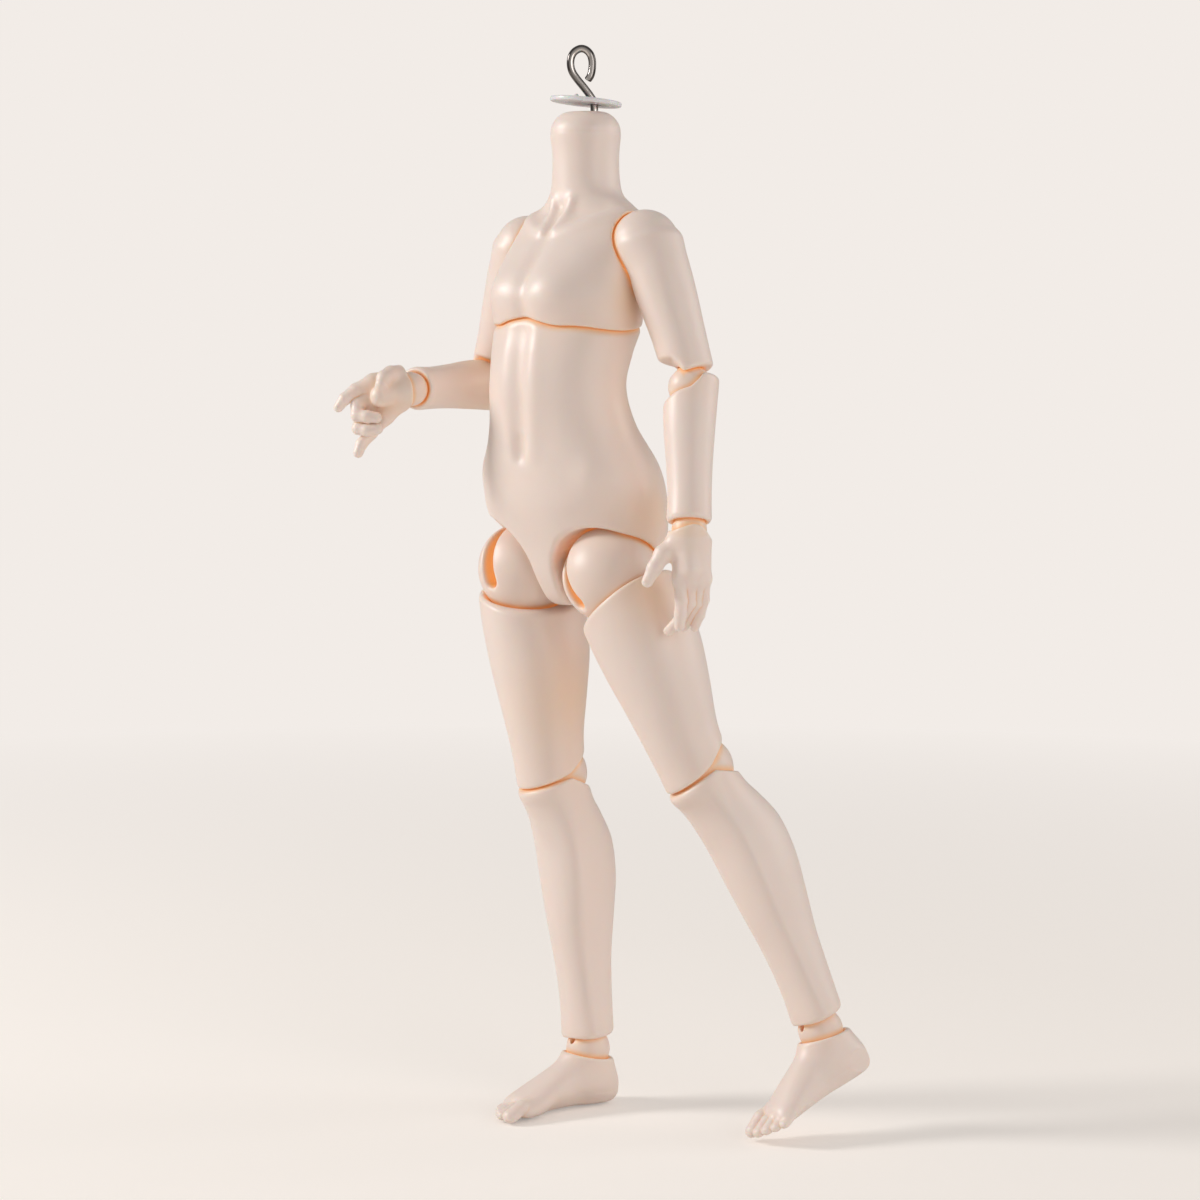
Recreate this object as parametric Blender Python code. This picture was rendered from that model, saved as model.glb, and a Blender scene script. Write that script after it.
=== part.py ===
"""Ball jointed doll body, 1:6 scale: hollow resin shells strung on elastic over ball joints.

The doll faces -Y, its left side is +X and +Z is up. The origin is the centre of the sole of the
right foot, which carries the weight. Places are worked upward from that sole to the pelvis, then up
the body and down the other leg. Every limb piece is modelled hanging along its own -Z, with its
front at -Y, and is then turned and moved by the empty of its joint.
"""

from math import cos, radians, sin, tau

import bmesh
import bpy
import numpy as np
from mathutils import Matrix, Vector

# Gaps and small shared sizes
RUNNING_GAP = 0.0003
LIP_RADIUS = 0.0009
CUT_OVERRUN = 0.004
ELASTIC_RADIUS = 0.0009
ELASTIC_GAP = 0.00035

# Body sizes
HIP_HALF_SPAN = 0.0137
HIP_BALL_RADIUS = 0.0108
THIGH_LENGTH = 0.0474
THIGH_HALF_WIDTH = 0.0122
THIGH_HALF_DEPTH = 0.0118
KNEE_BALL_RADIUS = 0.0071
KNEE_SET_BACK = 0.0011
CALF_LENGTH = 0.0639
CALF_HALF_WIDTH = 0.0072
CALF_HALF_DEPTH = 0.0092
ANKLE_BALL_RADIUS = 0.005
ANKLE_HEIGHT = 0.0131
FOOT_LENGTH = 0.033
FOOT_WIDTH = 0.0112
HEEL_BEHIND_ANKLE = 0.007

# Torso sizes, with the heights stacked from the hips to the waist's centre, the shoulders and the neck's top
BELLY_HEIGHT = 0.0307
CHEST_RISE = 0.0419
NECK_RISE = 0.0305
CHEST_HALF_WIDTH = 0.019
CHEST_HALF_DEPTH = 0.0149
SPINE_SHIFT_BACK = 0.0052
SPINE_SHIFT_SIDE = 0.0006
WAIST_BALL_RADIUS = 0.029
NECK_CAVITY_RADIUS = 0.0046
NECK_MOUTH_RADIUS = 0.0039
NECK_MOUTH_DEPTH = 0.0028

# Arm sizes
SHOULDER_HALF_SPAN = 0.0202
SHOULDER_BALL_RADIUS = 0.0073
ARMPIT_FACE = 0.0014
UPPER_ARM_LENGTH = 0.0334
UPPER_ARM_RADIUS = 0.0063
ELBOW_BALL_RADIUS = 0.0047
FOREARM_LENGTH = 0.032
FOREARM_RADIUS = 0.0056
WRIST_BALL_RADIUS = 0.0038
PALM_LENGTH = 0.0115
PALM_WIDTH = 0.0098
PALM_THICKNESS = 0.0042
FINGER_LENGTH = 0.0118
FINGER_RADIUS = 0.00145

# Heights that follow from the stack
WAIST_HEIGHT = BELLY_HEIGHT
SHOULDER_HEIGHT = WAIST_HEIGHT + CHEST_RISE
TORSO_HEIGHT = SHOULDER_HEIGHT + NECK_RISE

# Neck fitting sizes
WIRE_RADIUS = 0.00085
HOOK_LOOP_RADIUS = 0.0023
HOOK_EYE_RISE = 0.0104
HOOK_EYE_SIDE = -0.0012
HOOK_SHANK_SIDE = 0.0019
DISC_RADIUS = 0.008
DISC_THICKNESS = 0.001
DISC_NUB_RADIUS = 0.0006
DISC_NUB_HEIGHT = 0.0011

# Pins across the hand and foot bores
PIN_RADIUS = 0.0005

# Rims at the knee and elbow: how far each point of the seam lies above or below the ball's centre
KNEE_SEAM_FRONT = -0.0026
KNEE_SEAM_SIDE = -0.0002
KNEE_THIGH_BACK = 0.0044
KNEE_CALF_BACK = -0.0036
ELBOW_ARM_FRONT = 0.007
ELBOW_ARM_SIDE = 0.0027
ELBOW_ARM_BACK = 0.0033
ELBOW_FOREARM_FRONT = -0.0035
ELBOW_FOREARM_SIDE = -0.0013
ELBOW_FOREARM_BACK = 0.0022
ANKLE_RIM_FRONT = -0.0001
ANKLE_RIM_BACK = -0.0024
WRIST_RIM = -0.0017

# The pose it stands in, in degrees
FOOT_TURN_OUT = 9.0
RIGHT_LEG_SWING = 3.9
RIGHT_LEG_ABDUCT = -6.5
LEFT_LEG_SWING = 14.9
LEFT_LEG_ABDUCT = 19.4
LEFT_LEG_TWIST = -12.9
LEFT_KNEE_BEND = 1.5
RIGHT_HIP_BALL = (-8.0, -14.0, 9.0)
LEFT_HIP_BALL = (-23.0, -22.0, 0.0)
LEFT_ARM_SWING = 0.0
LEFT_ARM_ABDUCT = 21.0
LEFT_ARM_TWIST = -33.0
LEFT_ELBOW_BEND = 15.7
LEFT_HAND_DROP = 0.0
LEFT_HAND_BACK = 0.0
LEFT_HAND_ROLL = 28.0
RIGHT_ARM_SWING = 3.0
RIGHT_ARM_ABDUCT = 22.5
RIGHT_ARM_TWIST = -11.6
RIGHT_ELBOW_BEND = 96.0
RIGHT_HAND_DROP = 12.0
RIGHT_HAND_BACK = 20.0
RIGHT_HAND_ROLL = 8.0
NECK_HOOK_TURN = 45.0
NECK_DISC_TILT = 5.6

# Resin colours and finishes
RESIN_COLOUR = (0.86, 0.70, 0.60, 1.0)
JOINT_COLOUR = (0.84, 0.66, 0.54, 1.0)
STEEL_COLOUR = (0.55, 0.54, 0.52, 1.0)
CLEAR_COLOUR = (0.90, 0.90, 0.88, 1.0)
ELASTIC_COLOUR = (0.92, 0.91, 0.88, 1.0)


def empty_scene():
    for item in list(bpy.data.objects):
        bpy.data.objects.remove(item, do_unlink=True)
    for group in list(bpy.data.collections):
        bpy.data.collections.remove(group)


def new_collection(name):
    group = bpy.data.collections.new(name)
    bpy.context.scene.collection.children.link(group)
    return group


def new_material(name, colour, roughness, metallic=0.0):
    material = bpy.data.materials.new(name)
    material.use_nodes = True
    shader = material.node_tree.nodes["Principled BSDF"]
    shader.inputs["Base Color"].default_value = colour
    shader.inputs["Roughness"].default_value = roughness
    shader.inputs["Metallic"].default_value = metallic
    material.diffuse_color = colour
    return material


empty_scene()
DOLL = new_collection("ball_jointed_doll")
CUTTERS = new_collection("cutters")
RESIN = new_material("resin", RESIN_COLOUR, 0.45)
JOINT_RESIN = new_material("joint_resin", JOINT_COLOUR, 0.4)
STEEL = new_material("polished_steel", STEEL_COLOUR, 0.2, 1.0)
CLEAR_PLASTIC = new_material("clear_plastic", CLEAR_COLOUR, 0.3)
ELASTIC = new_material("elastic_cord", ELASTIC_COLOUR, 0.8)


# Turning and placing

def turn_x(degrees):
    return Matrix.Rotation(radians(degrees), 4, "X")


def turn_y(degrees):
    return Matrix.Rotation(radians(degrees), 4, "Y")


def turn_z(degrees):
    return Matrix.Rotation(radians(degrees), 4, "Z")


def limb_turn(swing, abduct, twist, side):
    """Swing is backward, abduct away from the midline and twist outward. Side is +1 for the left."""
    return turn_x(swing) @ turn_y(-side * abduct) @ turn_z(side * twist)


def at(place, turn):
    return Matrix.Translation(place) @ turn


def down(turn, distance):
    return turn.to_3x3() @ Vector((0, 0, -distance))


def joint_empty(name, matrix):
    frame = bpy.data.objects.new(name, None)
    DOLL.objects.link(frame)
    frame.empty_display_size = HIP_BALL_RADIUS
    frame.matrix_world = matrix
    return frame


# Building solids

def solid_from(name, mesh_builder, material, group=None):
    mesh = bpy.data.meshes.new(name)
    bmesh.ops.recalc_face_normals(mesh_builder, faces=mesh_builder.faces)
    mesh_builder.to_mesh(mesh)
    mesh_builder.free()
    mesh.materials.append(material)
    mesh.shade_smooth()
    mesh.set_sharp_from_angle(angle=radians(40))
    piece = bpy.data.objects.new(name, mesh)
    (group or DOLL).objects.link(piece)
    if group is CUTTERS:
        piece.hide_render = True
        piece.display_type = "WIRE"
    return piece


def skin(name, rows, material, group=None):
    """A closed loft through rows of points, with a flat cap on the first and the last row."""
    build = bmesh.new()
    rings = [[build.verts.new(point) for point in row] for row in rows]
    count = len(rings[0])
    for lower, upper in zip(rings, rings[1:]):
        for step in range(count):
            following = (step + 1) % count
            build.faces.new((lower[step], lower[following], upper[following], upper[step]))
    build.faces.new(rings[0])
    build.faces.new(rings[-1])
    return solid_from(name, build, material, group)


def oval(height, inner, outer, front, back, side, sides, tilt=0.0, shift=(0.0, 0.0)):
    """One row of a limb: four quarter ellipses, with the rim rising by tilt toward the outside."""
    row = []
    for step in range(sides):
        turn = tau * step / sides
        across = cos(turn) * (outer if cos(turn) > 0 else inner)
        along = sin(turn) * (back if sin(turn) > 0 else front)
        place = Vector((side * across, along, height + tilt * across))
        row.append(place + Vector((side * shift[0], shift[1], 0)))
    return row


def smooth_table(table, count):
    """Reads count rows from a smooth curve through the rows of a table."""
    table = np.array(table, float)
    spots = np.linspace(0, len(table) - 1, count)
    rows = []
    for spot in spots:
        start = min(int(spot), len(table) - 2)
        share = spot - start
        before, first = table[max(start - 1, 0)], table[start]
        second, after = table[start + 1], table[min(start + 2, len(table) - 1)]
        slope_in, slope_out = (second - before) / 2, (after - first) / 2
        if start == 0:
            slope_in = second - first
        if start == len(table) - 2:
            slope_out = second - first
        cube, square = share ** 3, share ** 2
        rows.append(
            (2 * cube - 3 * square + 1) * first + (cube - 2 * square + share) * slope_in
            + (3 * square - 2 * cube) * second + (cube - square) * slope_out
        )
    return rows


def with_lips(rows, lip):
    """Adds a chamfered lip to both ends of a loft whose rows run from top to bottom."""
    def lip_rows(rim, rise):
        centre = sum(rim, Vector()) / len(rim)
        rounded = []
        for angle in (75,):
            inset = lip * (1 - cos(radians(angle)))
            lift = lip * sin(radians(angle)) * rise
            ring = []
            for point in rim:
                spoke = (point - centre)
                spoke.z = 0
                ring.append(point - spoke.normalized() * inset + Vector((0, 0, lift)))
            rounded.append(ring)
        return rounded

    first = lip_rows(rows[0], 1)
    last = lip_rows(rows[-1], -1)
    return first + rows + last[::-1]


def limb(name, shares, length, half_width, half_depth, side, rows, sides, set_back=0.0):
    """A limb shell from a table of shares: height, inner, outer, front, back and rim tilt."""
    table = []
    for height, inner, outer, front, back, tilt in smooth_table(shares, rows):
        table.append(
            oval(
                height * length, inner * half_width, outer * half_width,
                front * half_depth, back * half_depth, side, sides, tilt, (0.0, -set_back),
            )
        )
    return skin(name, with_lips(table, LIP_RADIUS), RESIN)


def ball(name, radius, material, segments=20, group=None, place=(0, 0, 0)):
    build = bmesh.new()
    bmesh.ops.create_uvsphere(
        build, u_segments=segments, v_segments=segments // 2, radius=radius,
        matrix=Matrix.Translation(place),
    )
    return solid_from(name, build, material, group)


def rod(name, start, end, radius, material, sides=12, group=None, end_radius=None):
    """A straight round bar from start to end."""
    start, end = Vector(start), Vector(end)
    span = end - start
    build = bmesh.new()
    bmesh.ops.create_cone(
        build, cap_ends=True, segments=sides, radius1=radius,
        radius2=radius if end_radius is None else end_radius, depth=span.length,
        matrix=Matrix.Translation((start + end) / 2) @ span.to_track_quat("Z", "Y").to_matrix().to_4x4(),
    )
    return solid_from(name, build, material, group)


def tube(name, points, radii, material, sides=8, group=None):
    """A round bar with domed ends along a bent line, as thick at each point as radii says."""
    points = [Vector(point) for point in points]
    heading = points[1] - points[0]
    across = heading.orthogonal().normalized()
    rows = []
    last = len(points) - 1
    for index, (point, radius) in enumerate(zip(points, radii)):
        heading = (points[min(index + 1, last)] - points[max(index - 1, 0)]).normalized()
        across = (across - heading * across.dot(heading)).normalized()
        along = heading.cross(across)
        dome = [(0.0, 1.0)]
        if index == 0:
            dome = [(-0.95, 0.35), (-0.65, 0.76), (0.0, 1.0)]
        if index == last:
            dome = [(0.0, 1.0), (0.65, 0.76), (0.95, 0.35)]
        for ahead, wide in dome:
            centre = point + heading * ahead * radius
            rows.append([
                centre + (across * cos(tau * step / sides) + along * sin(tau * step / sides)) * radius * wide
                for step in range(sides)
            ])
    return skin(name, rows, material, group)


def turned(name, profile, sides, material, group=None):
    """Spins a profile of radius and height points round Z. The profile starts and ends on the axis."""
    build = bmesh.new()
    points = [build.verts.new((radius, 0, height)) for radius, height in profile]
    edges = [build.edges.new(pair) for pair in zip(points, points[1:])]
    bmesh.ops.spin(build, geom=points + edges, cent=(0, 0, 0), axis=(0, 0, 1), angle=tau, steps=sides)
    bmesh.ops.remove_doubles(build, verts=build.verts, dist=RUNNING_GAP / 10)
    return solid_from(name, build, material, group)


def apply_boolean(piece, other, operation):
    cut = piece.modifiers.new(other.name, "BOOLEAN")
    cut.operation = operation
    cut.solver = "EXACT"
    cut.object = other
    bpy.context.view_layer.update()
    seen = piece.evaluated_get(bpy.context.evaluated_depsgraph_get())
    mesh = bpy.data.meshes.new_from_object(seen)
    piece.modifiers.remove(cut)
    old = piece.data
    piece.data = mesh
    mesh.name = piece.name
    bpy.data.meshes.remove(old)
    while len(mesh.materials) > 1:
        mesh.materials.pop()


def cut_away(piece, *cutters):
    for cutter in cutters:
        apply_boolean(piece, cutter, "DIFFERENCE")
        bpy.data.objects.remove(cutter, do_unlink=True)


def join_on(piece, *others):
    for other in others:
        apply_boolean(piece, other, "UNION")
        bpy.data.objects.remove(other, do_unlink=True)


def keep_within(piece, other):
    apply_boolean(piece, other, "INTERSECT")
    bpy.data.objects.remove(other, do_unlink=True)


def seat(radius, place=(0, 0, 0), segments=20):
    """A cutter for a ball's seat. It is so much larger that its flat facets clear the ball too."""
    facet_loss = cos(tau / (2 * segments)) ** 2
    return ball("seat", (radius + RUNNING_GAP) / facet_loss, RESIN, segments, CUTTERS, place)


def bore(start, end, radius=ELASTIC_RADIUS + ELASTIC_GAP, sides=8):
    return rod("bore", start, end, radius, RESIN, sides, CUTTERS)


def slot(centre, reach, half_width, low, high, facing):
    """A cutter for an elastic slot: an arc of thin plate round a ball's X axis."""
    centre = Vector(centre)
    rows = []
    steps = 6
    for step in range(steps):
        angle = radians(low + (high - low) * step / (steps - 1))
        outward = Vector((0, facing * cos(angle), sin(angle)))
        tip = centre + outward * (reach + CUT_OVERRUN)
        root = centre + outward * reach * 0.45
        end = 0.45 if step in (0, steps - 1) else 1.0
        wide = Vector((half_width * end, 0, 0))
        rows.append([root - wide, root + wide, tip + wide, tip - wide])
    return skin("slot", rows, RESIN, CUTTERS)


def put(piece, frame, name=None):
    """Hands a piece that is modelled at the origin to the empty of its joint."""
    piece.parent = frame
    piece.matrix_parent_inverse = Matrix.Identity(4)
    if name:
        piece.name = name
        piece.data.name = name
    return piece


# Tables of shares. Limb rows: height, inner, outer, front, back, rim tilt.

THIGH_SHARES = [
    (-0.165, 0.78, 1.02, 0.93, 1.12, 0.35),
    (-0.281, 0.81, 1.05, 0.92, 1.15, 0.22),
    (-0.446, 0.85, 1.00, 0.87, 1.08, 0.05),
    (-0.631, 0.79, 0.88, 0.80, 0.90, 0.0),
    (-0.825, 0.70, 0.70, 0.75, 0.70, 0.0),
    (-0.970, 0.665, 0.65, 0.72, 0.65, 0.0),
    (-1.080, 0.665, 0.65, 0.72, 0.64, 0.0),
]
CALF_SHARES = [
    (0.040, 1.12, 1.12, 0.94, 0.88, 0.0),
    (-0.055, 1.12, 1.10, 0.92, 0.89, 0.0),
    (-0.110, 1.09, 1.06, 0.76, 0.98, 0.0),
    (-0.170, 1.08, 1.06, 0.64, 1.18, 0.0),
    (-0.270, 1.08, 1.13, 0.53, 1.42, 0.0),
    (-0.400, 1.00, 1.12, 0.505, 1.42, 0.0),
    (-0.530, 0.84, 1.05, 0.49, 1.24, 0.0),
    (-0.680, 0.72, 0.95, 0.44, 1.00, 0.0),
    (-0.820, 0.72, 0.92, 0.45, 0.85, 0.0),
    (-0.945, 0.86, 0.96, 0.54, 0.71, 0.0),
]
UPPER_ARM_SHARES = [
    (-0.020, 1.00, 1.13, 1.13, 1.13, 0.0),
    (-0.170, 0.97, 1.12, 1.09, 1.13, 0.0),
    (-0.370, 0.92, 1.04, 0.99, 1.11, 0.0),
    (-0.640, 0.88, 0.94, 0.85, 1.04, 0.0),
    (-0.850, 0.85, 0.89, 0.82, 0.99, 0.0),
    (-1.000, 0.84, 0.87, 0.80, 0.97, 0.0),
]
FOREARM_SHARES = [
    (0.135, 0.97, 0.98, 0.94, 1.12, 0.0),
    (0.020, 1.00, 1.02, 0.99, 1.12, 0.0),
    (-0.125, 1.00, 1.03, 1.04, 1.05, 0.0),
    (-0.310, 0.97, 1.00, 1.02, 0.97, 0.0),
    (-0.520, 0.89, 0.92, 0.92, 0.89, 0.0),
    (-0.747, 0.84, 0.86, 0.85, 0.85, 0.0),
    (-0.928, 0.86, 0.88, 0.88, 0.86, 0.0),
]

# Torso rows: height share of the torso, then half width, front and back as shares of the chest,
# and how far the row has moved with the spine.
TORSO_SHARES = [
    (-0.073, 0.38, 0.20, 0.50, 0.00),
    (-0.045, 0.78, 0.36, 0.88, 0.00),
    (0.000, 1.08, 0.53, 1.15, 0.00),
    (0.055, 1.18, 0.67, 1.28, 0.00),
    (0.150, 1.22, 0.93, 1.33, 0.00),
    (0.230, 1.16, 1.02, 1.21, 0.10),
    (0.320, 0.96, 1.08, 0.85, 0.30),
    (0.400, 0.89, 1.13, 0.68, 0.50),
    (0.470, 0.92, 1.08, 0.78, 0.70),
    (0.530, 0.97, 1.00, 0.93, 0.90),
    (0.590, 0.98, 1.04, 0.99, 1.00),
    (0.640, 0.97, 0.92, 1.03, 1.00),
    (0.690, 0.96, 0.68, 1.03, 1.00),
    (0.735, 0.93, 0.42, 0.99, 1.00),
    (0.765, 0.86, 0.26, 0.94, 1.00),
    (0.790, 0.66, 0.18, 0.90, 1.00),
    (0.815, 0.47, 0.15, 0.87, 1.00),
    (0.850, 0.405, 0.145, 0.855, 1.00),
    (0.900, 0.395, 0.150, 0.850, 1.00),
    (0.945, 0.415, 0.180, 0.880, 1.00),
    (0.975, 0.370, 0.140, 0.830, 1.00),
    (0.993, 0.235, -0.020, 0.670, 1.00),
]

# Foot rows from heel to toes: how far along, half width, lowest and highest point as shares,
# and how far the row sits toward the inner side.
FOOT_SHARES = [
    (0.000, 0.20, 0.10, 0.40, 0.00),
    (0.035, 0.33, 0.02, 0.58, 0.00),
    (0.120, 0.38, -0.03, 0.74, 0.00),
    (0.260, 0.38, -0.03, 0.90, 0.00),
    (0.400, 0.40, -0.03, 0.86, -0.01),
    (0.560, 0.45, -0.03, 0.68, -0.02),
    (0.700, 0.49, -0.03, 0.50, -0.02),
    (0.790, 0.49, -0.03, 0.38, -0.02),
    (0.850, 0.45, -0.02, 0.28, -0.02),
]
# Toes: how far across from the inner side, how far forward the tip is, and thickness.
TOE_SHARES = [
    (-0.36, 1.000, 0.155),
    (-0.12, 0.990, 0.115),
    (0.07, 0.960, 0.108),
    (0.25, 0.920, 0.102),
    (0.41, 0.870, 0.100),
]

# Fingers from index to little: place across the palm, length, thickness and where the root lies.
FINGER_SHARES = [
    (-0.355, 0.95, 1.00, 0.97),
    (-0.115, 1.04, 1.02, 1.00),
    (0.125, 0.98, 0.98, 0.97),
    (0.350, 0.80, 0.90, 0.91),
]
BONE_SHARES = (0.44, 0.31, 0.25)


# The neck, the chest and the belly

def torso_rows(count, sides):
    rows = []
    for height, wide, front, back, spine in smooth_table(TORSO_SHARES, count):
        centre_y = (back - front) * CHEST_HALF_DEPTH / 2
        half_depth = (back + front) * CHEST_HALF_DEPTH / 2
        row = []
        for step in range(sides):
            turn = tau * step / sides
            row.append(Vector((
                cos(turn) * wide * CHEST_HALF_WIDTH + spine * SPINE_SHIFT_SIDE,
                centre_y + sin(turn) * half_depth,
                height * TORSO_HEIGHT,
            )))
        rows.append(row)
    return rows


def spine_point(height):
    return Vector((SPINE_SHIFT_SIDE, SPINE_SHIFT_BACK, height))


def waist_bell(radius, name):
    """A dome on a wide skirt. Its round top is the waist's sliding face."""
    profile = [(0, radius)]
    for degrees in range(10, 91, 10):
        profile.append((radius * sin(radians(degrees)), radius * cos(radians(degrees))))
    profile[-1] = (radius, 0)
    wide = 2 * WAIST_BALL_RADIUS
    profile += [(wide, 0), (wide, -TORSO_HEIGHT), (0, -TORSO_HEIGHT)]
    bell = turned(name, profile, 36, RESIN, CUTTERS)
    bell.matrix_world = Matrix.Translation(waist_centre())
    return bell


def waist_centre():
    return Vector((0, 0, WAIST_HEIGHT))


def shoulder_place(side):
    return spine_point(SHOULDER_HEIGHT) + Vector((side * SHOULDER_HALF_SPAN, 0, 0))


def hip_place(side):
    return Vector((side * HIP_HALF_SPAN, 0, 0))


def hip_opening(side):
    """The room that the hip ball and the top of the thigh swing through, as one rounded sweep."""
    room = HIP_BALL_RADIUS + RUNNING_GAP
    ahead = Vector((side * 0.22 * HIP_BALL_RADIUS, -2 * HIP_BALL_RADIUS, -0.15 * HIP_BALL_RADIUS))
    outside = Vector((side * 1.5 * HIP_BALL_RADIUS, -0.9 * HIP_BALL_RADIUS, -1.15 * HIP_BALL_RADIUS))
    below = Vector((side * 0.35 * HIP_BALL_RADIUS, 0.1 * HIP_BALL_RADIUS, -2.2 * HIP_BALL_RADIUS))
    low_ahead = Vector((side * 0.35 * HIP_BALL_RADIUS, -2 * HIP_BALL_RADIUS, -2.2 * HIP_BALL_RADIUS))
    points = []
    for offset, share in ((Vector(), 1.0), (ahead, 1.0), (outside, 1.3), (below, 1.32), (low_ahead, 1.2)):
        sphere = bmesh.new()
        bmesh.ops.create_uvsphere(
            sphere, u_segments=24, v_segments=12, radius=room * share / cos(tau / 48) ** 2,
            matrix=Matrix.Translation(hip_place(side) + offset),
        )
        points += [vertex.co.copy() for vertex in sphere.verts]
        sphere.free()
    build = bmesh.new()
    bmesh.ops.convex_hull(build, input=[build.verts.new(point) for point in points])
    inside = [vertex for vertex in build.verts if not vertex.link_faces]
    bmesh.ops.delete(build, geom=inside, context="VERTS")
    return solid_from("hip_opening", build, RESIN, CUTTERS)


def make_torso(frame):
    upper = skin("upper_torso", torso_rows(26, 26), RESIN)
    lower = upper.copy()
    lower.data = upper.data.copy()
    lower.name = "lower_torso"
    DOLL.objects.link(lower)

    cut_away(upper, waist_bell(WAIST_BALL_RADIUS + RUNNING_GAP, "waist_hollow"))
    cavity_top = TORSO_HEIGHT - NECK_MOUTH_DEPTH
    cut_away(upper, bore(spine_point(WAIST_HEIGHT), spine_point(cavity_top), NECK_CAVITY_RADIUS, 12))
    cut_away(upper, bore(spine_point(cavity_top - CUT_OVERRUN), spine_point(TORSO_HEIGHT + CUT_OVERRUN),
                         NECK_MOUTH_RADIUS, 12))
    cut_away(upper, bore(shoulder_place(-1), shoulder_place(1)))
    for side in (-1, 1):
        cut_away(upper, seat(SHOULDER_BALL_RADIUS, shoulder_place(side), 18))

    keep_within(lower, waist_bell(WAIST_BALL_RADIUS, "waist_dome"))
    for side in (-1, 1):
        cut_away(lower, hip_opening(side))
        cut_away(lower, bore(hip_strand(side, 1.0), hip_place(side)))
    put(lower, frame)
    put(upper, frame)


def strand_offset(side):
    """Where a strand of the body elastic runs beside the spine."""
    spread = NECK_CAVITY_RADIUS - ELASTIC_RADIUS - RUNNING_GAP
    return turn_z(NECK_HOOK_TURN - 90).to_3x3() @ Vector((side * spread, 0, 0))


def hip_strand(side, share):
    top = spine_point(WAIST_HEIGHT + WAIST_BALL_RADIUS) + strand_offset(side)
    return hip_place(side).lerp(top, share)


# The neck fitting: hook, disc and the loop of elastic that the hook holds

def neck_top():
    return spine_point(TORSO_HEIGHT)


def hook_points():
    """The centre line of the S hook in its own plane: across, then up from the neck's top."""
    loop = HOOK_LOOP_RADIUS
    eye = Vector((HOOK_EYE_SIDE, HOOK_EYE_RISE))
    stretch = 1.3
    line = [eye + Vector((0.62 * loop, -1.48 * loop)), eye + Vector((0.90 * loop, -0.80 * loop))]
    for degrees in range(0, 201, 25):
        line.append(eye + Vector((cos(radians(degrees)) * loop, sin(radians(degrees)) * loop * stretch)))
    shank = Vector((HOOK_SHANK_SIDE, DISC_THICKNESS))
    line.append(eye.lerp(shank, 0.30) + Vector((-0.40 * loop, 0)))
    line.append(eye.lerp(shank, 0.72))
    line.append(shank)
    low_centre = Vector((HOOK_SHANK_SIDE - loop, -1.35 * loop))
    for degrees in range(15, -211, -25):
        line.append(low_centre + Vector((cos(radians(degrees)) * loop, sin(radians(degrees)) * loop)))
    return line


def wire(name, points, radius, material, resolution=2):
    """A round wire through the points, made from a curve with a bevel and turned into a mesh."""
    curve = bpy.data.curves.new(name, "CURVE")
    curve.dimensions = "3D"
    curve.bevel_depth = radius
    curve.bevel_resolution = resolution
    curve.use_fill_caps = True
    spline = curve.splines.new("POLY")
    spline.points.add(len(points) - 1)
    for spot, point in zip(spline.points, points):
        spot.co = (*point, 1)
    line = bpy.data.objects.new(name, curve)
    DOLL.objects.link(line)
    seen = line.evaluated_get(bpy.context.evaluated_depsgraph_get())
    mesh = bpy.data.meshes.new_from_object(seen)
    bpy.data.objects.remove(line, do_unlink=True)
    build = bmesh.new()
    build.from_mesh(mesh)
    bpy.data.meshes.remove(mesh)
    bmesh.ops.remove_doubles(build, verts=build.verts, dist=RUNNING_GAP / 30)
    return solid_from(name, build, material)


def make_neck_fitting(frame):
    plane = turn_z(NECK_HOOK_TURN).to_3x3()
    line = [neck_top() + plane @ Vector((across, 0, up)) for across, up in hook_points()]
    put(wire("neck_hook", line, WIRE_RADIUS, STEEL, 3), frame)

    disc = rod("neck_disc", (0, 0, 0), (0, 0, DISC_THICKNESS), DISC_RADIUS, CLEAR_PLASTIC, 32)
    nub_place = Vector((-0.28 * DISC_RADIUS, 0, DISC_THICKNESS / 2))
    join_on(disc, rod("nub", nub_place, nub_place + Vector((0, 0, DISC_THICKNESS / 2 + DISC_NUB_HEIGHT)),
                      DISC_NUB_RADIUS, CLEAR_PLASTIC, 10))
    disc_place = at(neck_top() + Vector((0, 0, RUNNING_GAP)), turn_z(NECK_HOOK_TURN) @ turn_y(NECK_DISC_TILT))
    crossing = Vector((HOOK_SHANK_SIDE, 0, 0))
    half_slot = Vector((WIRE_RADIUS * 1.1, 0, 0))
    hole = WIRE_RADIUS + RUNNING_GAP
    overrun = Vector((0, 0, CUT_OVERRUN))
    for spot in (crossing - half_slot, crossing, crossing + half_slot):
        cut_away(disc, bore(spot - overrun, spot + overrun, hole))
    disc.matrix_world = disc_place
    bpy.context.view_layer.update()
    disc.data.transform(disc.matrix_world)
    disc.matrix_world = Matrix.Identity(4)
    put(disc, frame)

    low = line_lowest(line)
    bend = WIRE_RADIUS + RUNNING_GAP + ELASTIC_RADIUS
    across = strand_offset(1).normalized()
    loop = []
    foot = spine_point(SHOULDER_HEIGHT + SHOULDER_BALL_RADIUS * 0.75)
    loop.append(foot + strand_offset(1))
    for degrees in range(0, 181, 30):
        loop.append(low + across * cos(radians(degrees)) * bend + Vector((0, 0, sin(radians(degrees)) * bend)))
    loop.append(foot + strand_offset(-1))
    put(wire("neck_elastic", loop, ELASTIC_RADIUS, ELASTIC), frame)


def line_lowest(line):
    return min(line, key=lambda point: point.z)


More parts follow.
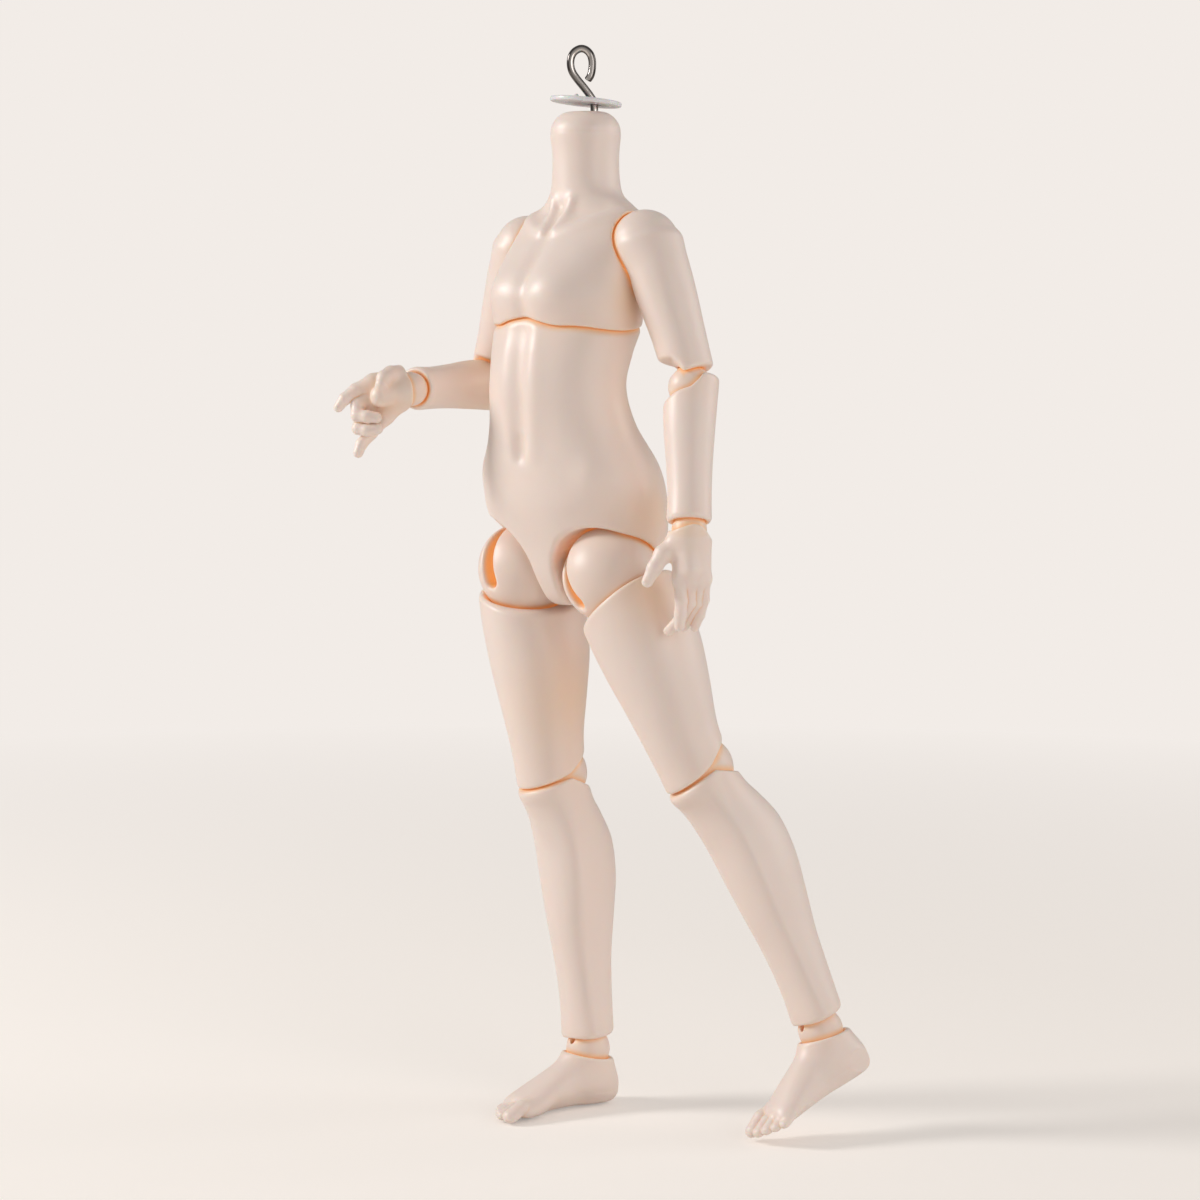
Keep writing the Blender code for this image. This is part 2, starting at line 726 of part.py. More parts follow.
def make_torso_elastic(frame):
    top = SHOULDER_HEIGHT - ELASTIC_RADIUS
    seam = WAIST_HEIGHT + WAIST_BALL_RADIUS + RUNNING_GAP
    for side, name in ((-1, "right"), (1, "left")):
        offset = strand_offset(side)
        put(rod(f"{name}_chest_elastic", spine_point(top) + offset, spine_point(seam) + offset,
                ELASTIC_RADIUS, ELASTIC, 8), frame)
        put(rod(f"{name}_hip_elastic", hip_strand(side, 0.86), hip_strand(side, 0.27),
                ELASTIC_RADIUS, ELASTIC, 8), frame)
    reach = Vector((SHOULDER_BALL_RADIUS + 2 * RUNNING_GAP, 0, 0))
    put(rod("shoulder_elastic", shoulder_place(-1) + reach, shoulder_place(1) - reach,
            ELASTIC_RADIUS, ELASTIC, 8), frame)


# The legs

def make_hip_ball(name, frame, twist, tilt, roll):
    """The ball lies in its seats as it was left: twisted, tilted, and rolled along its slot."""
    piece = ball(name, HIP_BALL_RADIUS, JOINT_RESIN)
    low, high = -25, 76
    cutter = slot((0, 0, 0), HIP_BALL_RADIUS, 0.11 * HIP_BALL_RADIUS, low + roll, high + roll, -1)
    cutter.data.transform(turn_z(twist) @ turn_y(tilt))
    cut_away(piece, cutter)
    cut_away(piece, bore((0, 0, 2 * HIP_BALL_RADIUS), (0, 0, -2 * HIP_BALL_RADIUS)))
    return put(piece, frame)


def rim_cut(rim, facing):
    """A cutter that takes off a limb's end past a rim, which is given from front to back."""
    front, back = Vector(rim[0]), Vector(rim[-1])
    ahead = front + 3 * (front - Vector(rim[1]))
    behind = back + 3 * (back - Vector(rim[-2]))
    reach = 2 * (back.x - front.x)
    far = facing * reach
    profile = [ahead] + [Vector(point) for point in rim] + [behind]
    profile += [Vector((behind.x, far)), Vector((ahead.x, far))]
    rows = [[Vector((across, y, z)) for y, z in profile] for across in (-reach, reach)]
    return skin("rim_cut", rows, RESIN, CUTTERS)


def moved(cutter, z):
    cutter.matrix_world = Matrix.Translation((0, 0, z))
    return cutter


def thigh_rim():
    """The thigh's lower rim, measured from the knee ball's centre height and the leg's axis."""
    front, back = THIGH_SHARES[-1][3] * THIGH_HALF_DEPTH, THIGH_SHARES[-1][4] * THIGH_HALF_DEPTH
    return [(-front, KNEE_SEAM_FRONT), (0, KNEE_SEAM_SIDE), (back, KNEE_THIGH_BACK)]


def calf_rim():
    """The calf's upper rim, which meets the thigh's from the front to the side."""
    front, back = THIGH_SHARES[-1][3] * THIGH_HALF_DEPTH, THIGH_SHARES[-1][4] * THIGH_HALF_DEPTH
    rim = [(-front, KNEE_SEAM_FRONT), (0, KNEE_SEAM_SIDE), (back, KNEE_CALF_BACK)]
    return [(y - KNEE_SET_BACK, z - RUNNING_GAP) for y, z in rim]


def upper_arm_rim():
    """The upper arm is cut high in front, so that the forearm can fold up against it."""
    reach = UPPER_ARM_RADIUS
    return [(-0.80 * reach, ELBOW_ARM_FRONT), (-0.48 * reach, 0.93 * ELBOW_ARM_FRONT),
            (-0.36 * reach, 0.82 * ELBOW_ARM_FRONT), (-0.10 * reach, ELBOW_ARM_SIDE),
            (0, ELBOW_ARM_SIDE), (reach, ELBOW_ARM_BACK)]


def forearm_rim():
    reach = FOREARM_RADIUS
    return [(-reach, ELBOW_FOREARM_FRONT), (-0.7 * reach, 0.63 * ELBOW_FOREARM_FRONT),
            (-0.2 * reach, ELBOW_FOREARM_SIDE),
            (0.35 * reach, ELBOW_FOREARM_BACK), (reach, ELBOW_FOREARM_BACK)]


def make_thigh(name, side, frame):
    piece = limb(name, THIGH_SHARES, THIGH_LENGTH, THIGH_HALF_WIDTH, THIGH_HALF_DEPTH, side, 9, 18)
    knee = Vector((0, KNEE_SET_BACK, -THIGH_LENGTH))
    cut_away(piece, moved(rim_cut(thigh_rim(), -1), -THIGH_LENGTH))
    cut_away(piece, seat(HIP_BALL_RADIUS))
    cut_away(piece, seat(KNEE_BALL_RADIUS, knee, 24))
    cut_away(piece, bore((0, 0, 0), knee))
    put(piece, frame)
    heading = knee.normalized()
    put(rod(f"{name}_elastic", heading * (HIP_BALL_RADIUS + 2 * RUNNING_GAP),
            knee - heading * (KNEE_BALL_RADIUS + 2 * RUNNING_GAP), ELASTIC_RADIUS, ELASTIC, 8), frame)


def joint_ball(name, radius, frame, facing, half_bend, segments):
    """The loose ball of a knee or elbow. It is bored through and slotted for half of the bend."""
    piece = ball(name, radius, JOINT_RESIN, segments)
    cut_away(piece, bore((0, 0, 2 * radius), (0, 0, -2 * radius)))
    cut_away(piece, slot((0, 0, 0), radius, ELASTIC_RADIUS, 88 - half_bend, 84, facing))
    cut_away(piece, slot((0, 0, 0), radius, ELASTIC_RADIUS, -84, half_bend - 88, facing))
    return put(piece, frame)


def make_calf(name, side, frame):
    piece = limb(name, CALF_SHARES, CALF_LENGTH, CALF_HALF_WIDTH, CALF_HALF_DEPTH, side, 12, 16, KNEE_SET_BACK)
    ankle = Vector((0, -KNEE_SET_BACK, -CALF_LENGTH))
    cut_away(piece, rim_cut(calf_rim(), 1))
    cut_away(piece, seat(KNEE_BALL_RADIUS, segments=16))
    cut_away(piece, seat(ANKLE_BALL_RADIUS, ankle, 14))
    cut_away(piece, bore((0, 0, 0), ankle))
    put(piece, frame)
    heading = ankle.normalized()
    put(rod(f"{name}_elastic", heading * (KNEE_BALL_RADIUS + 2 * RUNNING_GAP),
            ankle - heading * (ANKLE_BALL_RADIUS + 2 * RUNNING_GAP), ELASTIC_RADIUS, ELASTIC, 8), frame)


def end_ball(name, radius, frame):
    """An ankle or wrist ball: bored through, with a slot over its top that lets it tilt on the cord."""
    piece = ball(name, radius, JOINT_RESIN, 14)
    cut_away(piece, bore((0, 0, 2 * radius), (0, 0, -2 * radius)))
    cut_away(piece, slot((0, 0, 0), radius, ELASTIC_RADIUS * 0.8, 5, 120, -1))
    return put(piece, frame)


def foot_row(along, wide, low, high, inward, side, sides):
    """One upright section across the foot, as it lies with its sole on the ground."""
    row = []
    centre = Vector((side * inward * FOOT_WIDTH, HEEL_BEHIND_ANKLE - along * FOOT_LENGTH, 0))
    mid = (low + high) * ANKLE_HEIGHT / 2
    half = (high - low) * ANKLE_HEIGHT / 2
    for step in range(sides):
        turn = tau * step / sides
        row.append(centre + Vector((
            side * cos(turn) * wide * FOOT_WIDTH,
            0,
            mid + sin(turn) * half - ANKLE_HEIGHT,
        )))
    return row


def make_foot(name, side, frame):
    rows = [foot_row(*shares, side, 14) for shares in smooth_table(FOOT_SHARES, 11)]
    piece = skin(name, rows, RESIN)
    collar = 1.14 * ANKLE_BALL_RADIUS
    neck = [
        oval(0.2 * collar, 0.98 * collar, 0.98 * collar, collar, collar, side, 14),
        oval(-0.4 * collar, 1.02 * collar, 1.02 * collar, 1.12 * collar, 1.06 * collar, side, 14),
        oval(-0.55 * ANKLE_HEIGHT, 0.9 * collar, 0.9 * collar, 1.3 * collar, 1.1 * collar, side, 14),
        oval(-0.72 * ANKLE_HEIGHT, 0.7 * collar, 0.7 * collar, 1.1 * collar, 0.9 * collar, side, 14),
    ]
    join_on(piece, skin("ankle_collar", neck, RESIN, CUTTERS))
    for across, forward, thick in TOE_SHARES:
        radius = thick * FOOT_WIDTH
        x = side * across * FOOT_WIDTH
        tip_y = HEEL_BEHIND_ANKLE - forward * FOOT_LENGTH + radius
        root = (x * 0.92, tip_y + 0.24 * FOOT_LENGTH, 1.25 * radius - ANKLE_HEIGHT)
        knuckle = (x * 0.98, tip_y + 0.08 * FOOT_LENGTH, 1.15 * radius - ANKLE_HEIGHT)
        tip = (x, tip_y, 0.85 * radius - ANKLE_HEIGHT)
        join_on(piece, tube("toe", (root, knuckle, tip), (0.9 * radius, radius, 0.95 * radius), RESIN, 7, CUTTERS))
    ground = rod("ground", (0, 0, -ANKLE_HEIGHT), (0, 0, -ANKLE_HEIGHT - CUT_OVERRUN),
                 2 * FOOT_LENGTH, RESIN, 8, CUTTERS)
    cut_away(piece, ground)
    middle = (ANKLE_RIM_FRONT + ANKLE_RIM_BACK) / 2
    cut_away(piece, rim_cut([(-collar, ANKLE_RIM_FRONT), (0, middle), (collar, ANKLE_RIM_BACK)], 1))
    cut_away(piece, seat(ANKLE_BALL_RADIUS, segments=18))
    depth = 0.72 * ANKLE_HEIGHT
    cut_away(piece, bore((0, 0, 0), (0, 0, -depth)))
    pin_z = -0.62 * ANKLE_HEIGHT
    half_pin = 0.24 * FOOT_WIDTH
    cut_away(piece, bore((-half_pin - RUNNING_GAP, 0, pin_z), (half_pin + RUNNING_GAP, 0, pin_z),
                         PIN_RADIUS + RUNNING_GAP, 8))
    put(piece, frame)
    put(rod(f"{name}_pin", (-half_pin, 0, pin_z), (half_pin, 0, pin_z), PIN_RADIUS, STEEL, 8), frame)
    return piece


# The arms

def armpit_plane(side, frame):
    """A block on the chest's side of the arm. It leaves a flat that clears the chest as the arm swings."""
    reach = 2 * UPPER_ARM_LENGTH
    block = bmesh.new()
    bmesh.ops.create_cube(block, size=reach)
    place = Matrix.Translation((-side * (ARMPIT_FACE + reach / 2), 0, 0))
    cutter = solid_from("armpit_plane", block, RESIN, CUTTERS)
    cutter.matrix_world = frame.matrix_world.to_3x3().inverted().to_4x4() @ place
    return cutter


def make_upper_arm(name, side, frame):
    piece = limb(name, UPPER_ARM_SHARES, UPPER_ARM_LENGTH, UPPER_ARM_RADIUS, UPPER_ARM_RADIUS, side, 9, 16)
    cut_away(piece, armpit_plane(side, frame))
    join_on(piece, ball("shoulder", SHOULDER_BALL_RADIUS, RESIN, 18, CUTTERS))
    cut_away(piece, moved(rim_cut(upper_arm_rim(), -1), -UPPER_ARM_LENGTH))
    cut_away(piece, seat(ELBOW_BALL_RADIUS, (0, 0, -UPPER_ARM_LENGTH), 18))
    cut_away(piece, bore((0, 0, 0), (0, 0, -UPPER_ARM_LENGTH)))
    cut_away(piece, bore((0, 0, 0), (-side * 2 * SHOULDER_BALL_RADIUS, 0, 0)))
    put(piece, frame)
    end = UPPER_ARM_LENGTH - ELBOW_BALL_RADIUS - 2 * RUNNING_GAP
    put(rod(f"{name}_elastic", (0, 0, -2 * ELASTIC_RADIUS), (0, 0, -end), ELASTIC_RADIUS, ELASTIC, 8), frame)


def make_forearm(name, side, frame):
    piece = limb(name, FOREARM_SHARES, FOREARM_LENGTH, FOREARM_RADIUS, FOREARM_RADIUS, side, 9, 16)
    cut_away(piece, rim_cut(forearm_rim(), 1))
    cut_away(piece, seat(ELBOW_BALL_RADIUS, segments=18))
    cut_away(piece, seat(WRIST_BALL_RADIUS, (0, 0, -FOREARM_LENGTH), 14))
    cut_away(piece, bore((0, 0, 0), (0, 0, -FOREARM_LENGTH)))
    put(piece, frame)
    end = FOREARM_LENGTH - WRIST_BALL_RADIUS - 2 * RUNNING_GAP
    put(rod(f"{name}_elastic", (0, 0, -ELBOW_BALL_RADIUS - 2 * RUNNING_GAP), (0, 0, -end),
            ELASTIC_RADIUS, ELASTIC, 8), frame)


def finger_line(root, length, curls, splay, side):
    """The joints of a finger. Curls bend it toward the palm, which faces the body."""
    points = [Vector(root)]
    bend = 0.0
    for share, curl in zip(BONE_SHARES, curls):
        bend += curl
        heading = turn_x(splay) @ turn_y(side * bend) @ Vector((0, 0, -1))
        points.append(points[-1] + heading * share * length)
    return points


def make_hand(name, side, frame, curls, splays, thumb_curl):
    rim = WRIST_RIM
    half_width, half_thick = PALM_WIDTH / 2, PALM_THICKNESS / 2
    wrist_room = 1.12 * WRIST_BALL_RADIUS
    rows = []
    for share, wide, thick, drift in (
        (0.00, 0.86, 1.00, 0.00), (0.16, 0.90, 1.06, 0.02), (0.34, 0.94, 0.86, 0.05),
        (0.60, 0.98, 0.62, 0.08), (0.85, 1.00, 0.50, 0.10), (1.00, 0.94, 0.40, 0.10),
    ):
        height = rim - share * PALM_LENGTH
        across = wrist_room * thick if thick > 0.8 else half_thick * 2 * thick
        along = max(half_width * wide, wrist_room * (1.0 - share))
        row = oval(height, across, across, along, along, side, 14, 0.0, (0.0, drift * half_width))
        rows.append(row)
    piece = skin(name, rows, RESIN)
    for (across, long, thick, root), curl, splay in zip(FINGER_SHARES, curls, splays):
        start = (0, across * PALM_WIDTH + 0.1 * half_width, rim - root * PALM_LENGTH * 0.86)
        line = finger_line(start, long * FINGER_LENGTH, curl, splay, side)
        radius = thick * FINGER_RADIUS
        radii = (radius, radius, 0.92 * radius, 0.74 * radius)
        join_on(piece, tube("finger", line, radii, RESIN, 7, CUTTERS))
    root = Vector((-side * 0.1 * half_thick, -0.62 * half_width, rim - 0.30 * PALM_LENGTH))
    line = [root]
    for share, (forward, inward) in zip((0.42, 0.32, 0.26), thumb_curl):
        heading = turn_x(-forward) @ turn_y(side * inward) @ Vector((0, 0, -1))
        line.append(line[-1] + heading * share * FINGER_LENGTH)
    thumb = 1.12 * FINGER_RADIUS
    join_on(piece, tube("thumb", line, (1.25 * thumb, thumb, 0.95 * thumb, 0.72 * thumb), RESIN, 7, CUTTERS))
    cut_away(piece, seat(WRIST_BALL_RADIUS, segments=18))
    depth = WRIST_BALL_RADIUS + 0.30 * PALM_LENGTH
    cut_away(piece, bore((0, 0, 0), (0, 0, -depth)))
    pin_z = -depth + 1.6 * ELASTIC_RADIUS
    half_pin = 0.30 * PALM_WIDTH
    cut_away(piece, bore((0, -half_pin - RUNNING_GAP, pin_z), (0, half_pin + RUNNING_GAP, pin_z),
                         PIN_RADIUS + RUNNING_GAP, 8))
    put(piece, frame)
    put(rod(f"{name}_pin", (0, -half_pin, pin_z), (0, half_pin, pin_z), PIN_RADIUS, STEEL, 8), frame)
    return piece


# Joint places, from the standing foot up and then down the other leg

def toe_clearance(turn, ankle):
    """How far the lowest toe of a foot hangs above the ground."""
    across, forward, thick = TOE_SHARES[0]
    radius = thick * FOOT_WIDTH
    lows = []
    for along in (forward, forward - 0.06):
        tip = Vector((across * FOOT_WIDTH, HEEL_BEHIND_ANKLE - along * FOOT_LENGTH + radius,
                      0.85 * radius - ANKLE_HEIGHT))
        lows.append((ankle + turn.to_3x3() @ tip).z - radius)
    return min(lows)


def foot_pitch_to_ground(turn, ankle):
    """The ankle bend, in degrees, at which the toes of the raised foot just reach the ground."""
    low, high = -60.0, 60.0
    for _ in range(40):
        middle = (low + high) / 2
        if toe_clearance(turn @ turn_x(middle), ankle) > RUNNING_GAP:
            low = middle
        else:
            high = middle
    return (low + high) / 2


def make_frames():
    """One empty for each moving piece, at its joint."""
    frames = {}
    sole_to_ankle = Vector((0, FOOT_LENGTH / 2 - HEEL_BEHIND_ANKLE, ANKLE_HEIGHT))
    foot_turn = turn_z(-FOOT_TURN_OUT)
    leg = limb_turn(RIGHT_LEG_SWING, RIGHT_LEG_ABDUCT, FOOT_TURN_OUT, -1)
    ankle = foot_turn.to_3x3() @ sole_to_ankle
    thigh_span = Vector((0, KNEE_SET_BACK, -THIGH_LENGTH))
    calf_span = Vector((0, -KNEE_SET_BACK, -CALF_LENGTH))
    knee = ankle - leg.to_3x3() @ calf_span
    hip = knee - leg.to_3x3() @ thigh_span
    frames["right_foot"] = at(ankle, foot_turn)
    frames["right_ankle_ball"] = at(ankle, leg)
    frames["right_calf"] = at(knee, leg)
    frames["right_knee_ball"] = at(knee, leg)
    frames["right_thigh"] = at(hip, leg)
    frames["right_hip_ball"] = at(hip, turn_x(RIGHT_LEG_SWING))

    pelvis = hip + Vector((HIP_HALF_SPAN, 0, 0))
    frames["pelvis"] = Matrix.Translation(pelvis)

    hip = pelvis + Vector((HIP_HALF_SPAN, 0, 0))
    thigh = limb_turn(LEFT_LEG_SWING, LEFT_LEG_ABDUCT, LEFT_LEG_TWIST, 1)
    calf = thigh @ turn_x(LEFT_KNEE_BEND)
    knee = hip + thigh.to_3x3() @ thigh_span
    ankle = knee + calf.to_3x3() @ calf_span
    frames["left_hip_ball"] = at(hip, turn_x(LEFT_LEG_SWING) @ turn_y(-0.65 * LEFT_LEG_ABDUCT))
    frames["left_thigh"] = at(hip, thigh)
    frames["left_knee_ball"] = at(knee, thigh @ turn_x(LEFT_KNEE_BEND / 2))
    frames["left_calf"] = at(knee, calf)
    foot = calf @ turn_x(foot_pitch_to_ground(calf, ankle))
    frames["left_ankle_ball"] = at(ankle, foot)
    frames["left_foot"] = at(ankle, foot)

    arms = (
        ("left", 1, (LEFT_ARM_SWING, LEFT_ARM_ABDUCT, LEFT_ARM_TWIST), LEFT_ELBOW_BEND,
         turn_z(LEFT_HAND_ROLL) @ turn_y(-LEFT_HAND_BACK) @ turn_x(LEFT_HAND_DROP)),
        ("right", -1, (RIGHT_ARM_SWING, RIGHT_ARM_ABDUCT, RIGHT_ARM_TWIST), RIGHT_ELBOW_BEND,
         turn_z(-RIGHT_HAND_ROLL) @ turn_y(RIGHT_HAND_BACK) @ turn_x(RIGHT_HAND_DROP)),
    )
    for name, side, pose, bend, hand_turn in arms:
        shoulder = pelvis + shoulder_place(side)
        upper = limb_turn(*pose, side)
        fore = upper @ turn_x(-bend)
        elbow = shoulder + down(upper, UPPER_ARM_LENGTH)
        wrist = elbow + down(fore, FOREARM_LENGTH)
        frames[f"{name}_upper_arm"] = at(shoulder, upper)
        frames[f"{name}_elbow_ball"] = at(elbow, upper @ turn_x(-bend / 2))
        frames[f"{name}_forearm"] = at(elbow, fore)
        frames[f"{name}_wrist_ball"] = at(wrist, fore)
        frames[f"{name}_hand"] = at(wrist, fore @ hand_turn)
    return frames


LEFT_CURLS = ((4, 6, 6), (24, 34, 22), (20, 26, 16), (12, 18, 12))
LEFT_SPLAYS = (2, 1, 0, -1)
LEFT_THUMB = ((32, 2), (24, 8), (14, 12))
RIGHT_CURLS = ((12, 26, 20), (62, 84, 30), (64, 84, 30), (34, 26, 14))
RIGHT_SPLAYS = (-2, 0, 4, 16)
RIGHT_THUMB = ((16, 34), (14, 46), (10, 58))


def build_doll():
    places = make_frames()
    frames = {name: joint_empty(f"{name}_joint", matrix) for name, matrix in places.items()}
    make_torso(frames["pelvis"])
    make_neck_fitting(frames["pelvis"])
    make_torso_elastic(frames["pelvis"])
    for name, side in (("right", -1), ("left", 1)):
        lie = RIGHT_HIP_BALL if side < 0 else LEFT_HIP_BALL
        make_hip_ball(f"{name}_hip_ball", frames[f"{name}_hip_ball"], *lie)
        make_thigh(f"{name}_thigh", side, frames[f"{name}_thigh"])
        joint_ball(f"{name}_knee_ball", KNEE_BALL_RADIUS, frames[f"{name}_knee_ball"], 1, 35, 16)
        make_calf(f"{name}_calf", side, frames[f"{name}_calf"])
        end_ball(f"{name}_ankle_ball", ANKLE_BALL_RADIUS, frames[f"{name}_ankle_ball"])
        make_foot(f"{name}_foot", side, frames[f"{name}_foot"])
        make_upper_arm(f"{name}_upper_arm", side, frames[f"{name}_upper_arm"])
        joint_ball(f"{name}_elbow_ball", ELBOW_BALL_RADIUS, frames[f"{name}_elbow_ball"], -1, 50, 14)
        make_forearm(f"{name}_forearm", side, frames[f"{name}_forearm"])
        end_ball(f"{name}_wrist_ball", WRIST_BALL_RADIUS, frames[f"{name}_wrist_ball"])
    make_hand("left_hand", 1, frames["left_hand"], LEFT_CURLS, LEFT_SPLAYS, LEFT_THUMB)
    make_hand("right_hand", -1, frames["right_hand"], RIGHT_CURLS, RIGHT_SPLAYS, RIGHT_THUMB)
    bpy.context.view_layer.update()


build_doll()
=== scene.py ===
"""The looks of a ball jointed doll body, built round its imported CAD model.

Each resin piece is a signed distance function in millimetres, in the frame of its joint, with smooth
unions for flesh and smooth cuts for rims, seats and slots. Surface nets turn it into a mesh.
"""

from math import atan, cos, radians, sin, sqrt, tau

import bmesh
import bpy
import numpy as np
from mathutils import Matrix, Vector


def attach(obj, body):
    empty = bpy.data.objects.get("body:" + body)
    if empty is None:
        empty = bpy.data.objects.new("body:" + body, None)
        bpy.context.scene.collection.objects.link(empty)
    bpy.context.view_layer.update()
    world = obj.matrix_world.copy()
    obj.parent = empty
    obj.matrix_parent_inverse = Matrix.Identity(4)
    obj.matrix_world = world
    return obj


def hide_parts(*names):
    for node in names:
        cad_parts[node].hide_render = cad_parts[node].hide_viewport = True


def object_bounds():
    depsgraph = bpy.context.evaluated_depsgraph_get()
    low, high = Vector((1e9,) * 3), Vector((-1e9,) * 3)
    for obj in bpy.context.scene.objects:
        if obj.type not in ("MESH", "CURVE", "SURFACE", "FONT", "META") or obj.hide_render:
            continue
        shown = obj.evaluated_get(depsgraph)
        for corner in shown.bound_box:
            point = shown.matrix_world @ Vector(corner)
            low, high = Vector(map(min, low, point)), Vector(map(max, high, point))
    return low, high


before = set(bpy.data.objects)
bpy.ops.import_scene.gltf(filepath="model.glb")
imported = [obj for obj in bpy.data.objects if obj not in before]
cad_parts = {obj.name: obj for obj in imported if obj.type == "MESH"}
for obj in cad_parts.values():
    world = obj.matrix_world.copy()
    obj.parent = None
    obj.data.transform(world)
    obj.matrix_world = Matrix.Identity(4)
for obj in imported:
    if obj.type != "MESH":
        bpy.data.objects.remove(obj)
CAD_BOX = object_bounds()

# Sizes in millimetres, as in the CAD source
GAP = 0.3
HIP_SPAN, HIP_R = 13.7, 10.8
THIGH_L, THIGH_W, THIGH_D = 47.4, 12.2, 11.8
KNEE_R, KNEE_BACK = 7.1, 1.1
CALF_L, CALF_W, CALF_D = 63.9, 7.2, 9.2
ANKLE_R, ANKLE_H = 5.0, 13.1
FOOT_L, FOOT_W, HEEL = 33.0, 11.2, 7.0
TORSO_H, CHEST_W, CHEST_D = 103.1, 19.0, 14.9
SPINE_Y, SPINE_X = 5.2, 0.6
WAIST_H, WAIST_R = 30.7, 29.0
NECK_TOP, NECK_FLAT, NECK_ROUND = 102.5, 2.9, 5.0
NECK_CAVITY_R, NECK_MOUTH_R, NECK_MOUTH_DEPTH = 4.6, 3.9, 2.8
SHOULDER_H, SHOULDER_SPAN, ARMPIT = 72.6, 20.2, 1.4
SHOULDER_IN, SHOULDER_BALL = 1.6, 7.5
ARM_L, ARM_R = 33.4, 6.3
ELBOW_R = 4.7
FOREARM_L, FOREARM_R = 32.0, 5.6
WRIST_R = 3.8
WRIST_CUP = 4.55
WIRE_R, SHANK_SIDE = 0.85, 1.9
# The wire's middle line in its own plane, as (sideways, up) from the neck's top
HOOK_LINE = [
    (0.55, 6.4), (1.15, 7.4), (1.45, 8.9), (1.45, 10.6), (1.0, 12.0), (0.05, 12.95), (-1.15, 13.2),
    (-2.45, 12.55), (-3.2, 11.3), (-3.35, 9.6), (-2.9, 8.0), (-1.8, 6.4), (-0.4, 4.7), (0.9, 3.0),
    (1.75, 1.6), (1.9, 0.4), (1.9, -1.4), (1.55, -3.4), (0.5, -4.9), (-0.7, -5.3), (-1.9, -4.6),
    (-2.6, -3.0), (-2.6, -1.4),
]
# The wire's rounded ends, as (step beyond the end, width), both in shares of its radius
WIRE_END = [(0.20, 0.86), (0.28, 0.55), (0.30, 0.02)]
WIRE_STEPS, WIRE_SIDES = 200, 24
# Where the first of the three painted reflection bands starts round the wire, in radians
BAND_START = 0.7 + 0.75 * tau
DISC_R, DISC_T, DISC_EDGE, NUB_R, NUB_H = 8.0, 1.0, 0.35, 0.6, 1.1
NUB_SIDE = -0.28 * DISC_R
DISC_LIFT = GAP + 0.7
PIN_R, PIN_Z, PIN_Y = 0.45, -7.2, (-0.8, 1.4)
BORE, HIP_SLOT = 1.25, 1.9
KNEE_FRONT, KNEE_SIDE, KNEE_THIGH_BACK, KNEE_CALF_BACK = -2.6, -0.2, 4.4, -3.6
ARM_SIDE, ARM_BACK = 2.7, 3.3
FORE_FRONT, FORE_SIDE, FORE_BACK = -3.5, -1.3, 2.2
ANKLE_RIM_FRONT, ANKLE_RIM_BACK = -0.1, -2.4

# Pose in degrees, as in the CAD source
FOOT_OUT = 9.0
RIGHT_LEG = (3.9, -6.5, FOOT_OUT)
LEFT_LEG = (14.9, 19.4, -12.9)
LEFT_KNEE = 1.5
RIGHT_HIP_BALL, LEFT_HIP_BALL = (-8.0, -14.0, 9.0), (-23.0, -22.0, 0.0)
LEFT_ARM, LEFT_ELBOW = (0.0, 21.0, -33.0), 15.7
RIGHT_ARM, RIGHT_ELBOW = (3.0, 22.5, -11.6), 96.0
LEFT_HAND = (28.0, 0.0, 0.0)
RIGHT_HAND = (8.0, 20.0, 12.0)
HOOK_TURN, DISC_TILT = 45.0, 5.6

THIGH_ROWS = [
    (-0.165, 0.78, 1.02, 0.93, 1.12, 0.35), (-0.281, 0.81, 1.05, 0.92, 1.15, 0.22),
    (-0.446, 0.85, 1.00, 0.87, 1.08, 0.05), (-0.631, 0.79, 0.88, 0.80, 0.90, 0.0),
    (-0.825, 0.70, 0.70, 0.75, 0.70, 0.0), (-0.970, 0.665, 0.65, 0.72, 0.65, 0.0),
    (-1.080, 0.665, 0.65, 0.72, 0.64, 0.0),
]
CALF_ROWS = [
    (0.040, 1.12, 1.12, 0.94, 0.88, 0.0), (-0.055, 1.12, 1.10, 0.92, 0.89, 0.0),
    (-0.110, 1.09, 1.06, 0.76, 0.98, 0.0), (-0.170, 1.08, 1.06, 0.64, 1.18, 0.0),
    (-0.270, 1.08, 1.13, 0.53, 1.42, 0.0), (-0.400, 1.00, 1.12, 0.505, 1.42, 0.0),
    (-0.530, 0.84, 1.05, 0.49, 1.24, 0.0), (-0.680, 0.72, 0.95, 0.44, 1.00, 0.0),
    (-0.820, 0.72, 0.92, 0.45, 0.85, 0.0), (-0.945, 0.86, 0.96, 0.54, 0.71, 0.0),
]
ARM_ROWS = [
    (-0.020, 0.96, 1.02, 1.06, 1.08, 0.0), (-0.170, 0.96, 1.09, 1.08, 1.12, 0.0),
    (-0.370, 0.92, 1.04, 0.99, 1.11, 0.0), (-0.640, 0.88, 0.94, 0.85, 1.04, 0.0),
    (-0.850, 0.85, 0.89, 0.82, 0.99, 0.0), (-1.000, 0.84, 0.87, 0.80, 0.97, 0.0),
]
FOREARM_ROWS = [
    (0.135, 0.97, 0.98, 0.94, 1.12, 0.0), (0.020, 1.00, 1.02, 0.99, 1.12, 0.0),
    (-0.125, 1.00, 1.03, 1.04, 1.05, 0.0), (-0.310, 0.97, 1.00, 1.02, 0.97, 0.0),
    (-0.520, 0.89, 0.92, 0.92, 0.89, 0.0), (-0.747, 0.84, 0.86, 0.85, 0.85, 0.0),
    (-0.928, 0.86, 0.88, 0.88, 0.86, 0.0),
]
